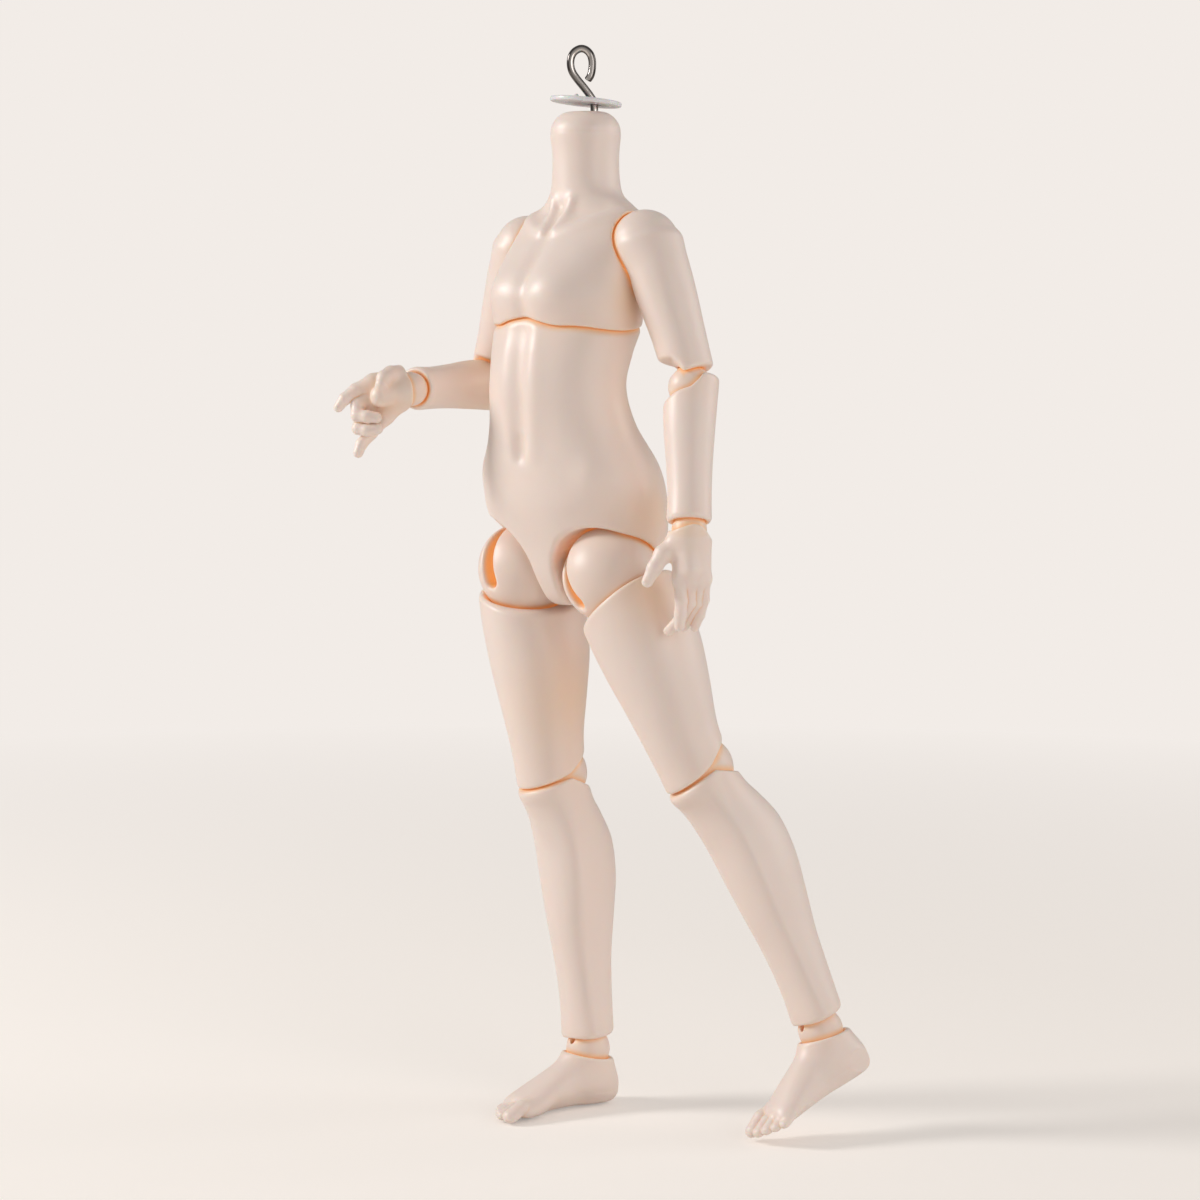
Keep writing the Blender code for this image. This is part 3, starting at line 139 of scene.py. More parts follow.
TORSO_ROWS = [
    (-0.073, 0.38, 0.20, 0.50, 0.00), (-0.045, 0.78, 0.36, 0.88, 0.00),
    (0.000, 1.08, 0.53, 1.15, 0.00), (0.055, 1.18, 0.67, 1.28, 0.00),
    (0.150, 1.22, 0.93, 1.33, 0.00), (0.230, 1.16, 1.02, 1.21, 0.10),
    (0.320, 0.96, 1.08, 0.85, 0.30), (0.400, 0.89, 1.13, 0.68, 0.50),
    (0.470, 0.92, 1.08, 0.78, 0.70), (0.530, 0.97, 1.00, 0.93, 0.90),
    (0.590, 0.98, 1.04, 0.99, 1.00), (0.640, 0.97, 0.92, 1.03, 1.00),
    (0.690, 0.96, 0.68, 1.03, 1.00), (0.735, 0.93, 0.42, 0.99, 1.00),
    (0.765, 0.86, 0.26, 0.94, 1.00), (0.790, 0.66, 0.18, 0.90, 1.00),
    (0.815, 0.47, 0.15, 0.87, 1.00), (0.850, 0.405, 0.145, 0.855, 1.00),
    (0.900, 0.395, 0.150, 0.850, 1.00), (0.945, 0.416, 0.181, 0.879, 1.00),
    (0.975, 0.420, 0.184, 0.882, 1.00), (1.020, 0.420, 0.184, 0.882, 1.00),
]
FOOT_ROWS = [
    (0.000, 0.22, 0.08, 0.40, 0.00), (0.035, 0.37, 0.00, 0.58, 0.00), (0.120, 0.44, -0.04, 0.76, 0.00),
    (0.240, 0.44, -0.04, 0.92, 0.00), (0.400, 0.41, -0.02, 0.88, -0.01), (0.560, 0.45, -0.03, 0.70, -0.02),
    (0.700, 0.49, -0.04, 0.52, -0.02), (0.790, 0.49, -0.04, 0.40, -0.02), (0.860, 0.45, -0.03, 0.30, -0.02),
]
TOES = [
    (-0.35, 1.000, 0.160), (-0.11, 0.995, 0.124), (0.08, 0.965, 0.118), (0.255, 0.925, 0.112),
    (0.41, 0.880, 0.106),
]
# The CAD source turns the left foot until a big toe of these shares is just off the ground
BIG_TOE = (-0.36, 1.000, 0.155)
# Each hand in its own frame: palm bones as root, knuckle and two radii; fingers as points and radii
LEFT_PALM = [
    ((0.0, 0.0, -2.4), (-0.3, 0.6, -8.2), 3.0, 2.3),
    ((-1.2, -0.7, -2.3), (-2.8, -0.2, -10.1), 2.6, 1.6), ((-0.6, 0.1, -2.3), (-1.7, 1.4, -10.5), 2.7, 1.7),
    ((0.2, 1.2, -2.5), (-0.9, 3.3, -10.3), 2.7, 1.6), ((0.6, 2.3, -2.6), (-0.5, 4.8, -9.7), 2.6, 1.4),
]
LEFT_FINGERS = [
    ([(-2.8, -0.2, -10.1), (-3.9, 1.1, -14.8), (-5.0, 1.8, -17.5), (-6.0, 2.4, -19.8)],
     (1.55, 1.35, 1.30, 1.10)),
    ([(-1.7, 1.7, -10.4), (-4.1, 3.7, -14.6), (-8.3, 4.4, -17.5), (-11.7, 4.0, -19.6)],
     (1.50, 1.35, 1.25, 1.10)),
    ([(-1.1, 3.5, -10.3), (-3.9, 5.5, -14.3), (-8.0, 7.0, -16.9), (-11.1, 7.8, -18.3)],
     (1.45, 1.30, 1.20, 1.00)),
    ([(-0.7, 4.9, -9.9), (-3.0, 6.7, -13.8), (-5.5, 7.6, -16.6), (-7.5, 7.9, -19.0)],
     (1.35, 1.15, 1.10, 0.95)),
]
LEFT_THUMB = ([(-2.1, -1.7, -2.7), (-3.9, -4.0, -5.2), (-5.3, -5.2, -8.2), (-6.8, -5.9, -11.1)],
              (2.25, 1.95, 1.60, 1.25))
LEFT_HAND_RIM = [
    (-6.0, -2.4), (-4.4, -0.4), (-3.1, 0.2), (-2.1, 0.6), (-0.6, 0.5), (1.0, -0.2), (3.2, -1.4), (4.6, -1.8),
]
RIGHT_PALM = [
    ((0.0, 0.0, -2.4), (-0.6, 0.6, -7.6), 3.0, 2.4),
    ((-1.8, -2.3, -0.9), (-5.3, -1.2, -6.3), 2.6, 2.0), ((-1.4, -0.6, -1.4), (-5.2, 1.4, -7.8), 2.8, 1.9),
    ((-0.9, 0.8, -1.8), (-3.8, 3.6, -7.4), 2.8, 1.9), ((-1.0, 2.0, -2.0), (-1.6, 5.7, -5.7), 2.6, 1.9),
]
RIGHT_FINGERS = [
    ([(-5.3, -1.1, -6.6), (-6.7, 0.3, -10.2), (-7.2, 1.9, -12.9), (-7.5, 3.7, -14.4)],
     (2.00, 1.65, 1.35, 1.10)),
    ([(-5.5, 1.7, -7.8), (-5.1, 3.1, -10.9), (-3.5, 5.0, -12.0), (-1.3, 4.9, -10.8), (0.2, 5.0, -9.3)],
     (1.70, 1.50, 1.40, 1.40, 1.25)),
    ([(-4.7, 3.7, -7.1), (-4.5, 5.9, -10.4), (-3.1, 7.9, -12.0), (-1.1, 8.0, -11.0), (0.4, 7.6, -9.2)],
     (1.60, 1.45, 1.40, 1.40, 1.25)),
    ([(-2.5, 6.0, -5.3), (-2.5, 9.5, -9.3), (-2.4, 11.4, -11.7), (-1.9, 13.1, -12.9)],
     (1.80, 1.45, 1.30, 1.15)),
]
RIGHT_THUMB = ([(-1.4, -3.2, -1.6), (-1.2, -3.8, -4.5), (-0.6, -3.5, -6.6), (0.2, -2.5, -7.8)],
               (2.20, 1.90, 1.65, 1.40))
RIGHT_HAND_RIM = [(-4.8, -1.4), (0.0, -1.7), (4.6, -1.4)]
BACK_OF_HAND = np.array([0.85, -0.5, 0.1])

# Soft relief on the torso: a line of points, its width and height (a groove if negative), and whether
# the other side has it too
UPPER_RELIEF = [
    # collarbones, neck muscles, the hollow between them and the hollows behind
    ([(2.6, -6.4, 75.6), (6.5, -5.6, 76.8), (10.5, -3.2, 78.2), (15.0, 2.4, 79.6)], 1.7, 0.8, True),
    ([(2.3, -6.2, 75.6), (2.9, -4.2, 79.0), (3.7, -2.6, 82.6)], 1.35, 0.6, True),
    ([(0.6, -6.8, 75.8), (0.6, -5.0, 78.6), (0.6, -3.2, 81.0)], 1.3, -0.75, False),
    ([(6.2, -2.6, 80.2), (10.5, 0.2, 81.0)], 2.4, -0.8, True),
    # chest muscles and breastbone
    ([(8.2, -13.2, 62.6)], 5.2, 1.7, True),
    ([(12.5, -10.8, 71.0)], 5.0, 0.5, True),
    ([(1.2, -15.0, 55.0), (1.2, -12.8, 67.0), (0.8, -8.6, 74.0)], 2.6, -0.9, False),
    # shoulder blades and spine
    ([(9.5, 19.5, 60.0), (11.0, 19.5, 68.0)], 5.0, 0.7, True),
    ([(0.6, 20.5, 52.0), (0.6, 20.5, 70.0), (0.6, 18.0, 78.0)], 2.4, -0.7, False),
]
LOWER_RELIEF = [
    # the belly's valley, the ridges beside it and the navel
    ([(1.3, -16.2, 58.0), (1.5, -16.6, 40.0), (0.9, -15.8, 28.0)], 2.3, -0.85, False),
    ([(5.2, -16.0, 56.0), (5.6, -16.2, 40.0), (4.2, -15.6, 27.0)], 2.4, 0.35, False),
    ([(-3.6, -16.0, 56.0), (-3.8, -16.2, 40.0), (-2.8, -15.6, 27.0)], 2.2, 0.35, False),
    ([(0.9, -16.2, 29.5), (0.8, -16.0, 26.2)], 1.5, -1.1, False),
    # hip bones, groin and the right front of the hip
    ([(17.0, -9.6, 22.5), (20.5, -5.4, 20.5), (23.5, -0.5, 18.0)], 3.6, 0.9, True),
    ([(20.0, -7.0, 13.0), (12.5, -13.0, 10.5)], 3.4, -0.8, True),
    ([(-18.5, -9.5, 12.5), (-16.5, -11.0, 9.0)], 4.4, 1.5, False),
    # buttocks and spine
    ([(9.5, 17.0, 4.0)], 7.0, 0.9, True),
    ([(0.0, 18.0, -6.0), (0.0, 20.5, 6.0), (0.0, 20.5, 13.0)], 2.0, -1.3, False),
    ([(0.2, 20.0, 16.0), (0.3, 12.0, 38.0), (0.5, 14.0, 52.0)], 2.4, -0.7, False),
]


# Frames

def turn(degrees, axis):
    return Matrix.Rotation(radians(degrees), 4, axis)


def limb_turn(swing, abduct, twist, side):
    return turn(swing, "X") @ turn(-side * abduct, "Y") @ turn(side * twist, "Z")


def at(place, rotation):
    return Matrix.Translation(place) @ rotation


def down(rotation, distance):
    return rotation.to_3x3() @ Vector((0, 0, -distance))


def toe_clearance(rotation, ankle):
    across, forward, thick = BIG_TOE
    radius = thick * FOOT_W
    lows = []
    for along in (forward, forward - 0.06):
        tip = Vector((across * FOOT_W, HEEL - along * FOOT_L + radius, 0.85 * radius - ANKLE_H))
        lows.append((ankle + rotation.to_3x3() @ tip).z - radius)
    return min(lows)


def foot_pitch(rotation, ankle):
    low, high = -60.0, 60.0
    for _ in range(40):
        middle = (low + high) / 2
        if toe_clearance(rotation @ turn(middle, "X"), ankle) > GAP:
            low = middle
        else:
            high = middle
    return (low + high) / 2


def spine(height):
    return Vector((SPINE_X, SPINE_Y, height))


def shoulder_place(side):
    return spine(SHOULDER_H) + Vector((side * SHOULDER_SPAN, 0, 0))


def make_frames():
    places = {}
    foot = turn(-FOOT_OUT, "Z")
    leg = limb_turn(*RIGHT_LEG, -1)
    ankle = foot.to_3x3() @ Vector((0, FOOT_L / 2 - HEEL, ANKLE_H))
    thigh_span, calf_span = Vector((0, KNEE_BACK, -THIGH_L)), Vector((0, -KNEE_BACK, -CALF_L))
    knee = ankle - leg.to_3x3() @ calf_span
    hip = knee - leg.to_3x3() @ thigh_span
    places["right_foot"] = at(ankle, foot)
    places["right_ankle_ball"] = at(ankle, leg)
    places["right_calf"] = places["right_knee_ball"] = at(knee, leg)
    places["right_thigh"] = at(hip, leg)
    places["right_hip_ball"] = at(hip, turn(RIGHT_LEG[0], "X"))
    pelvis = hip + Vector((HIP_SPAN, 0, 0))
    places["pelvis"] = Matrix.Translation(pelvis)
    hip = pelvis + Vector((HIP_SPAN, 0, 0))
    thigh = limb_turn(*LEFT_LEG, 1)
    calf = thigh @ turn(LEFT_KNEE, "X")
    knee = hip + thigh.to_3x3() @ thigh_span
    ankle = knee + calf.to_3x3() @ calf_span
    places["left_hip_ball"] = at(hip, turn(LEFT_LEG[0], "X") @ turn(-0.65 * LEFT_LEG[1], "Y"))
    places["left_thigh"] = at(hip, thigh)
    places["left_knee_ball"] = at(knee, thigh @ turn(LEFT_KNEE / 2, "X"))
    places["left_calf"] = at(knee, calf)
    places["left_ankle_ball"] = places["left_foot"] = at(ankle, calf @ turn(foot_pitch(calf, ankle), "X"))
    arms = (("left", 1, LEFT_ARM, LEFT_ELBOW, LEFT_HAND), ("right", -1, RIGHT_ARM, RIGHT_ELBOW, RIGHT_HAND))
    for name, side, pose, bend, (roll, back, drop) in arms:
        shoulder = pelvis + shoulder_place(side)
        upper = limb_turn(*pose, side)
        fore = upper @ turn(-bend, "X")
        elbow = shoulder + down(upper, ARM_L)
        wrist = elbow + down(fore, FOREARM_L)
        hand = turn(side * roll, "Z") @ turn(-side * back, "Y") @ turn(drop, "X")
        places[f"{name}_upper_arm"] = at(shoulder, upper)
        places[f"{name}_elbow_ball"] = at(elbow, upper @ turn(-bend / 2, "X"))
        places[f"{name}_forearm"] = at(elbow, fore)
        places[f"{name}_wrist_ball"] = at(wrist, fore)
        places[f"{name}_hand"] = at(wrist, fore @ hand)
    return places


PLACES = make_frames()


# Distance functions. Each takes points as an array of N rows and gives N distances.

def smax(a, b, k):
    """The larger of two distances, rounded over a width k where they meet."""
    h = np.maximum(k - np.abs(a - b), 0) / k
    return np.maximum(a, b) + h * h * k / 4


def smin(a, b, k):
    return -smax(-a, -b, k)


def dense(table, count=160):
    """Many rows on a smooth curve through the rows of a table."""
    table = np.array(table, float)
    rows = []
    for spot in np.linspace(0, len(table) - 1, count):
        start = min(int(spot), len(table) - 2)
        t = spot - start
        before, first = table[max(start - 1, 0)], table[start]
        second, after = table[start + 1], table[min(start + 2, len(table) - 1)]
        slope_in = second - first if start == 0 else (second - before) / 2
        slope_out = second - first if start == len(table) - 2 else (after - first) / 2
        cube, square = t ** 3, t ** 2
        rows.append((2 * cube - 3 * square + 1) * first + (cube - 2 * square + t) * slope_in
                    + (3 * square - 2 * cube) * second + (cube - square) * slope_out)
    return np.array(rows)


def oval(x, y, a, b):
    """Roughly how far a point lies outside an ellipse of half widths a and b."""
    g = np.hypot(x / a, y / b) + 1e-6
    return (g - 1) * g / (np.hypot(x / a ** 2, y / b ** 2) + 1e-9)


def sphere(p, centre, radius):
    return np.linalg.norm(p - np.asarray(centre, float), axis=1) - radius


def cone(p, a, b, ra, rb):
    """A round bar from a to b whose radius goes from ra to rb."""
    a, b = np.asarray(a, float), np.asarray(b, float)
    span = b - a
    t = np.clip((p - a) @ span / (span @ span), 0, 1)
    return np.linalg.norm(p - a - t[:, None] * span, axis=1) - (ra + (rb - ra) * t)


def bump(p, line, width, height):
    """A soft ridge, or a groove if height is negative, along a line of points."""
    line = [np.asarray(point, float) for point in line]
    if len(line) == 1:
        line = line * 2
    nearest = np.full(len(p), 1e9)
    for a, b in zip(line, line[1:]):
        span = b - a
        t = np.clip((p - a) @ span / max(span @ span, 1e-9), 0, 1)
        nearest = np.minimum(nearest, np.linalg.norm(p - a - t[:, None] * span, axis=1))
    return height * np.exp(-(nearest / width) ** 2)


def ball_cut(d, p, centre, radius, k=0.9):
    return smax(d, -sphere(p, centre, radius + GAP), k)


def bore_cut(d, p, start, end, radius=BORE, k=0.4):
    start, end = np.asarray(start, float), np.asarray(end, float)
    span = (end - start) / np.linalg.norm(end - start)
    rel = p - start
    along = rel @ span
    away = np.linalg.norm(rel - along[:, None] * span, axis=1) - radius
    length = np.linalg.norm(end - start)
    return smax(d, -np.maximum(away, np.maximum(-along, along - length)), k)


def slot_cut(d, p, radius, half_width, low, high, facing, k=0.8):
    """An elastic slot round the X axis of a ball, with round ends and a soft lip."""
    low, high = radians(low), radians(high)
    ring = np.hypot(p[:, 1], p[:, 2])
    angle = np.arctan2(p[:, 2], facing * p[:, 1])
    end = half_width / radius
    nearest = np.clip(angle, low + end, high - end)
    cut = np.hypot(p[:, 0], ring * (angle - nearest)) - half_width
    return smax(d, -np.maximum(cut, 0.45 * radius - ring), k)


def limb(table, length, width, depth, side, set_back=0.0):
    """A limb's outside, from rows of height, inner, outer, front and back share, and how far a row slopes."""
    rows = dense(table)[::-1]
    z = rows[:, 0] * length
    low, high = z[0], z[-1]

    def field(p):
        x, y = side * p[:, 0], p[:, 1] + set_back
        h = p[:, 2]
        for _ in range(2):
            h = p[:, 2] - np.interp(h, z, rows[:, 5]) * x
        inner, outer, front, back = (np.interp(h, z, rows[:, i]) for i in (1, 2, 3, 4))
        a = np.where(x > 0, outer, inner) * width
        b = np.where(y > 0, back, front) * depth
        return oval(x, y, a, b), h
    return field, low, high


def rim_line(rim, spread=0.45):
    """A softened rim: how high the edge lies at each y, and how steep it is."""
    rim = np.array(rim, float)
    ahead = rim[0] + 3 * (rim[0] - rim[1])
    behind = rim[-1] + 3 * (rim[-1] - rim[-2])
    rim = np.vstack([ahead, rim, behind])
    y = np.arange(rim[0, 0], rim[-1, 0], 0.1)
    z = np.interp(y, rim[:, 0], rim[:, 1])
    kernel = np.exp(-(np.arange(-15, 16) * 0.1 / spread) ** 2)
    z = np.convolve(np.pad(z, 15, mode="edge"), kernel / kernel.sum(), mode="valid")
    return y, z, 1 / np.sqrt(1 + np.gradient(z, 0.1) ** 2)


def rim_cut(d, p, line, facing, shift=0.0, k=1.2):
    y, z, flat = line
    height = np.interp(p[:, 1], y, z) + shift
    return smax(d, facing * (p[:, 2] - height) * np.interp(p[:, 1], y, flat), k)


THIGH_FRONT, THIGH_REAR = THIGH_ROWS[-1][3] * THIGH_D, THIGH_ROWS[-1][4] * THIGH_D
THIGH_RIM = rim_line([(-THIGH_FRONT, KNEE_FRONT), (0, KNEE_SIDE), (THIGH_REAR, KNEE_THIGH_BACK)])
CALF_RIM = rim_line([(-THIGH_FRONT - KNEE_BACK, KNEE_FRONT - GAP), (-KNEE_BACK, KNEE_SIDE - GAP),
                     (THIGH_REAR - KNEE_BACK, KNEE_CALF_BACK - GAP)])
ARM_RIM = rim_line([(-5.0, 7.2), (-2.75, 6.25), (-1.5, 4.2), (-1.1, ARM_SIDE), (0, ARM_SIDE), (ARM_R, ARM_BACK)],
                   0.3)
FORE_RIM = rim_line([(-FOREARM_R, FORE_FRONT), (-0.7 * FOREARM_R, 0.63 * FORE_FRONT),
                     (-0.2 * FOREARM_R, FORE_SIDE), (0.35 * FOREARM_R, FORE_BACK), (FOREARM_R, FORE_BACK)])
ANKLE_COLLAR = 1.14 * ANKLE_R
FOOT_RIM = rim_line([(-ANKLE_COLLAR, ANKLE_RIM_FRONT), (0, (ANKLE_RIM_FRONT + ANKLE_RIM_BACK) / 2),
                     (ANKLE_COLLAR, ANKLE_RIM_BACK)])
LIFT = 0.87


def thigh_field(side):
    field, low, high = limb(THIGH_ROWS, THIGH_L, THIGH_W, THIGH_D, side)
    knee = np.array([0, KNEE_BACK, -THIGH_L])

    def distance(p):
        d, h = field(p)
        d = smax(d, h - high - LIFT, 1.5)
        d = rim_cut(d, p, THIGH_RIM, -1, -THIGH_L)
        d = ball_cut(d, p, (0, 0, 0), HIP_R, 1.1)
        d = ball_cut(d, p, knee, KNEE_R)
        return bore_cut(d, p, (0, 0, 0), knee)
    return distance, (-15, -15, -THIGH_L - 6), (15, 16, 2)


def calf_field(side):
    field, low, high = limb(CALF_ROWS, CALF_L, CALF_W, CALF_D, side, KNEE_BACK)
    ankle = np.array([0, -KNEE_BACK, -CALF_L])

    def distance(p):
        d, h = field(p)
        d -= bump(p, [(0, -9.3, -8), (0, -7.5, -14)], 3.2, 0.25)
        d = smax(d, low - LIFT - h, 1.5)
        d = rim_cut(d, p, CALF_RIM, 1)
        d = ball_cut(d, p, (0, 0, 0), KNEE_R)
        d = ball_cut(d, p, ankle, ANKLE_R)
        return bore_cut(d, p, (0, 0, 0), ankle)
    return distance, (-10, -12, -CALF_L - 2), (10, 14, 4)


def arm_field(side, place):
    field, low, high = limb(ARM_ROWS, ARM_L, ARM_R, ARM_R, side)
    inward = np.array(place.to_3x3().inverted() @ Vector((-side, 0, 0)))

    def distance(p):
        d, h = field(p)
        d = smax(d, h - high - LIFT, 1.5)
        d = smax(d, p @ inward - ARMPIT, 1.5)
        d = smin(d, sphere(p, inward * SHOULDER_IN, SHOULDER_BALL), 2.6)
        inside = p.copy()
        inside[:, 1] += 0.42 * np.minimum(side * p[:, 0], 0) + 0.16 * np.maximum(side * p[:, 0], 0)
        d = rim_cut(d, inside, ARM_RIM, -1, -ARM_L, 0.8)
        d = ball_cut(d, p, (0, 0, -ARM_L), ELBOW_R, 0.6)
        d = bore_cut(d, p, (0, 0, 0), (0, 0, -ARM_L))
        return bore_cut(d, p, (0, 0, 0), inward * 20)
    return distance, (-9, -9, -ARM_L - 3), (9, 9, 8.5)


def forearm_field(side):
    field, low, high = limb(FOREARM_ROWS, FOREARM_L, FOREARM_R, FOREARM_R, side)

    def distance(p):
        d, h = field(p)
        d = smax(d, low - LIFT - h, 1.5)
        d = rim_cut(d, p, FORE_RIM, 1, 0.0, 1.0)
        d = ball_cut(d, p, (0, 0, 0), ELBOW_R)
        d = ball_cut(d, p, (0, 0, -FOREARM_L), WRIST_R)
        return bore_cut(d, p, (0, 0, 0), (0, 0, -FOREARM_L))
    return distance, (-8, -8, -FOREARM_L - 1), (8, 8, 6)


def hip_ball_field(twist, tilt, roll):
    lie = np.array((turn(twist, "Z") @ turn(tilt, "Y")).to_3x3())

    def distance(p):
        d = sphere(p, (0, 0, 0), HIP_R)
        d = slot_cut(d, p @ lie, HIP_R, HIP_SLOT, -28 + roll, 80 + roll, -1, 1.3)
        return bore_cut(d, p, (0, 0, 22), (0, 0, -22))
    return distance, (-11, -11, -11), (11, 11, 11)


def joint_ball_field(radius, facing, half_bend):
    """A knee or elbow ball, slotted from both ends of its bore on the side where the limb folds."""
    def distance(p):
        d = sphere(p, (0, 0, 0), radius)
        d = bore_cut(d, p, (0, 0, 22), (0, 0, -22))
        d = slot_cut(d, p, radius, 0.9, 88 - half_bend, 84, facing)
        return slot_cut(d, p, radius, 0.9, -84, half_bend - 88, facing)
    return distance, (-radius,) * 3, (radius,) * 3


def end_ball_field(radius):
    """An ankle or wrist ball with a short slot in front."""
    def distance(p):
        d = sphere(p, (0, 0, 0), radius)
        d = bore_cut(d, p, (0, 0, 22), (0, 0, -22))
        return slot_cut(d, p, radius, 0.8, 24, 120, -1, 0.5)
    return distance, (-radius,) * 3, (radius,) * 3


def foot_field(side):
    rows = dense(FOOT_ROWS)
    collar_rows = dense([
        (0.2 * ANKLE_COLLAR, 0.98, 0.98, 1.0, 1.0), (-0.4 * ANKLE_COLLAR, 1.02, 1.02, 1.12, 1.06),
        (-0.55 * ANKLE_H, 0.9, 0.9, 1.3, 1.1), (-0.72 * ANKLE_H, 0.7, 0.7, 1.1, 0.9)])[::-1]

    def distance(p):
        x, y, z = p.T
        along = (HEEL - y) / FOOT_L
        wide, low, high, inward = (np.interp(along, rows[:, 0], rows[:, i]) for i in (1, 2, 3, 4))
        middle, half = (low + high) * ANKLE_H / 2 - ANKLE_H, (high - low) * ANKLE_H / 2
        d = oval(x - side * inward * FOOT_W, z - middle, wide * FOOT_W, half)
        d = smax(d, -along * FOOT_L, 3.0)
        d = smax(d, (along - 0.86) * FOOT_L, 2.0)
        wide, front, back = (
            np.interp(z, collar_rows[:, 0], collar_rows[:, i]) * ANKLE_COLLAR for i in (1, 3, 4))
        neck = oval(x, y, wide, np.where(y > 0, back, front))
        neck = smax(neck, -0.72 * ANKLE_H - z, 2.0)
        neck = smax(neck, z - 2.0, 1.0)
        d = smin(d, neck, 3.0)
        for across, forward, thick in TOES:
            r = thick * FOOT_W
            tx, tip = side * across * FOOT_W, HEEL - forward * FOOT_L + r
            root = (tx * 0.84, tip + 0.22 * FOOT_L, 2.1 * r - ANKLE_H)
            knuckle = (tx * 0.97, tip + 0.09 * FOOT_L, 1.75 * r - ANKLE_H)
            end = (tx, tip, 0.9 * r - ANKLE_H)
            toe = bar(p, (root, knuckle, end), (0.8 * r, 0.88 * r, r), 0.4)
            toe += bump(p, [(tx, tip - 0.25 * r, 1.85 * r - ANKLE_H)], 0.6 * r, 0.16)
            d = smin(d, toe, 0.45)
        inner = -side * FOOT_W * 0.45
        arch = [(inner, HEEL - share * FOOT_L, -ANKLE_H) for share in (0.36, 0.54)]
        d += bump(p, arch, 3.4, 2.0)
        d = smax(d, -ANKLE_H - z, 1.2)
        d = rim_cut(d, p, FOOT_RIM, 1, 0.0, 1.0)
        d = ball_cut(d, p, (0, 0, 0), ANKLE_R)
        return bore_cut(d, p, (0, 0, 0), (0, 0, -0.72 * ANKLE_H))
    return distance, (-7, HEEL - FOOT_L - 1, -ANKLE_H), (7, HEEL + 1, 1)


def bar(p, points, radii, k):
    """A finger or other bent bar of round sections through points."""
    d = cone(p, points[0], points[1], radii[0], radii[1])
    for i in range(1, len(points) - 1):
        d = smin(d, cone(p, points[i], points[i + 1], radii[i], radii[i + 1]), k)
    return d


def hand_field(palm, fingers, thumb, rim):
    """A hand round the wrist ball's seat: palm bones, fingers and thumb flow together, with dents for nails."""
    line = rim_line(rim)
    points = np.array([point for bones, _ in [*fingers, thumb] for point in bones])
    low = np.minimum(points.min(0) - 2.6, (-5, -6, -14))
    high = np.maximum(points.max(0) + 2.6, (5, 6, 1.2))

    def distance(p):
        d = sphere(p, (0, 0, 0), WRIST_CUP)
        for root, knuckle, wide, narrow in palm:
            d = smin(d, cone(p, root, knuckle, wide, narrow), 1.6)
        spread = np.full(len(p), 99.0)
        for bones, radii in fingers:
            spread = smin(spread, bar(p, bones, radii, 0.4), 0.25)
        d = smin(d, spread, 1.3)
        d = smin(d, bar(p, *thumb, 0.6), 1.5)
        for bones, radii in [*fingers, thumb]:
            tip, before = np.array(bones[-1]), np.array(bones[-2])
            heading = (tip - before) / np.linalg.norm(tip - before)
            back = BACK_OF_HAND - heading * (BACK_OF_HAND @ heading)
            nail = tip - 0.1 * heading + back / np.linalg.norm(back) * 1.02 * radii[-1]
            d = d + bump(p, [nail], 0.55 * radii[-1], 0.12)
        d = rim_cut(d, p, line, 1, 0.0, 0.8)
        d = ball_cut(d, p, (0, 0, 0), WRIST_R, 0.5)
        return bore_cut(d, p, (0, 0, 0), (0, 0, -WRIST_R - 1.2))
    return distance, low, high


TORSO = dense(TORSO_ROWS, 400)
TORSO_Z = TORSO[:, 0] * TORSO_H


def torso_shell(p):
    """The torso's outside, from rows of height, width, front, back and how far the row follows the spine."""
    x, y, z = p.T
    wide, front, back, drift = (np.interp(z, TORSO_Z, TORSO[:, i]) for i in (1, 2, 3, 4))
    middle = (back - front) * CHEST_D / 2
    d = oval(x - drift * SPINE_X, y - middle, wide * CHEST_W, (back + front) * CHEST_D / 2)
    return smax(smax(d, z - TORSO_Z[-1], 2.0), TORSO_Z[0] - z, 2.0)


def relief(p, table):
    """How far the ridges and grooves of a table stand out at each point."""
    total = np.zeros(len(p))
    for line, width, height, mirrored in table:
        total += bump(p, line, width, height)
        if mirrored:
            total += bump(p, [(2 * SPINE_X - x, y, z) for x, y, z in line], width, height)
    return total


def seam_wave(p):
    """How far the front of the chest's seam dips below its round on each side of the breastbone."""
    dip = np.exp(-((np.abs(p[:, 0] - SPINE_X) - 8.5) / 3.6) ** 2)
    return 0.6 * dip * np.clip((-6 - p[:, 1]) / 4, 0, 1)


def upper_torso_field():
    def distance(p):
        d = torso_shell(p) - relief(p, UPPER_RELIEF)
        ring = np.hypot(p[:, 0] - SPINE_X, p[:, 1] - SPINE_Y)
        dome = np.hypot(np.maximum(ring - NECK_FLAT, 0), np.maximum(p[:, 2] - NECK_TOP + NECK_ROUND, 0))
        below = np.maximum(NECK_TOP - NECK_ROUND - p[:, 2], 0)
        d = smax(d, dome - NECK_ROUND - 1.5 * below, 0.3)
        hollow = np.minimum(sphere(p, (0, 0, WAIST_H), WAIST_R + GAP) + seam_wave(p), p[:, 2] - WAIST_H)
        d = smax(d, -hollow, 1.0)
        top = TORSO_H - NECK_MOUTH_DEPTH
        d = bore_cut(d, p, spine(WAIST_H), spine(top), NECK_CAVITY_R, 0.6)
        d = bore_cut(d, p, spine(top - 4), spine(TORSO_H + 4), NECK_MOUTH_R, 0.8)
        for side in (-1, 1):
            d = ball_cut(d, p, shoulder_place(side) - Vector((side * SHOULDER_IN, 0, 0)), SHOULDER_BALL, 0.8)
        return bore_cut(d, p, shoulder_place(-1), shoulder_place(1))
    return distance, (-20, -18, 42), (21, 24, 103.5)


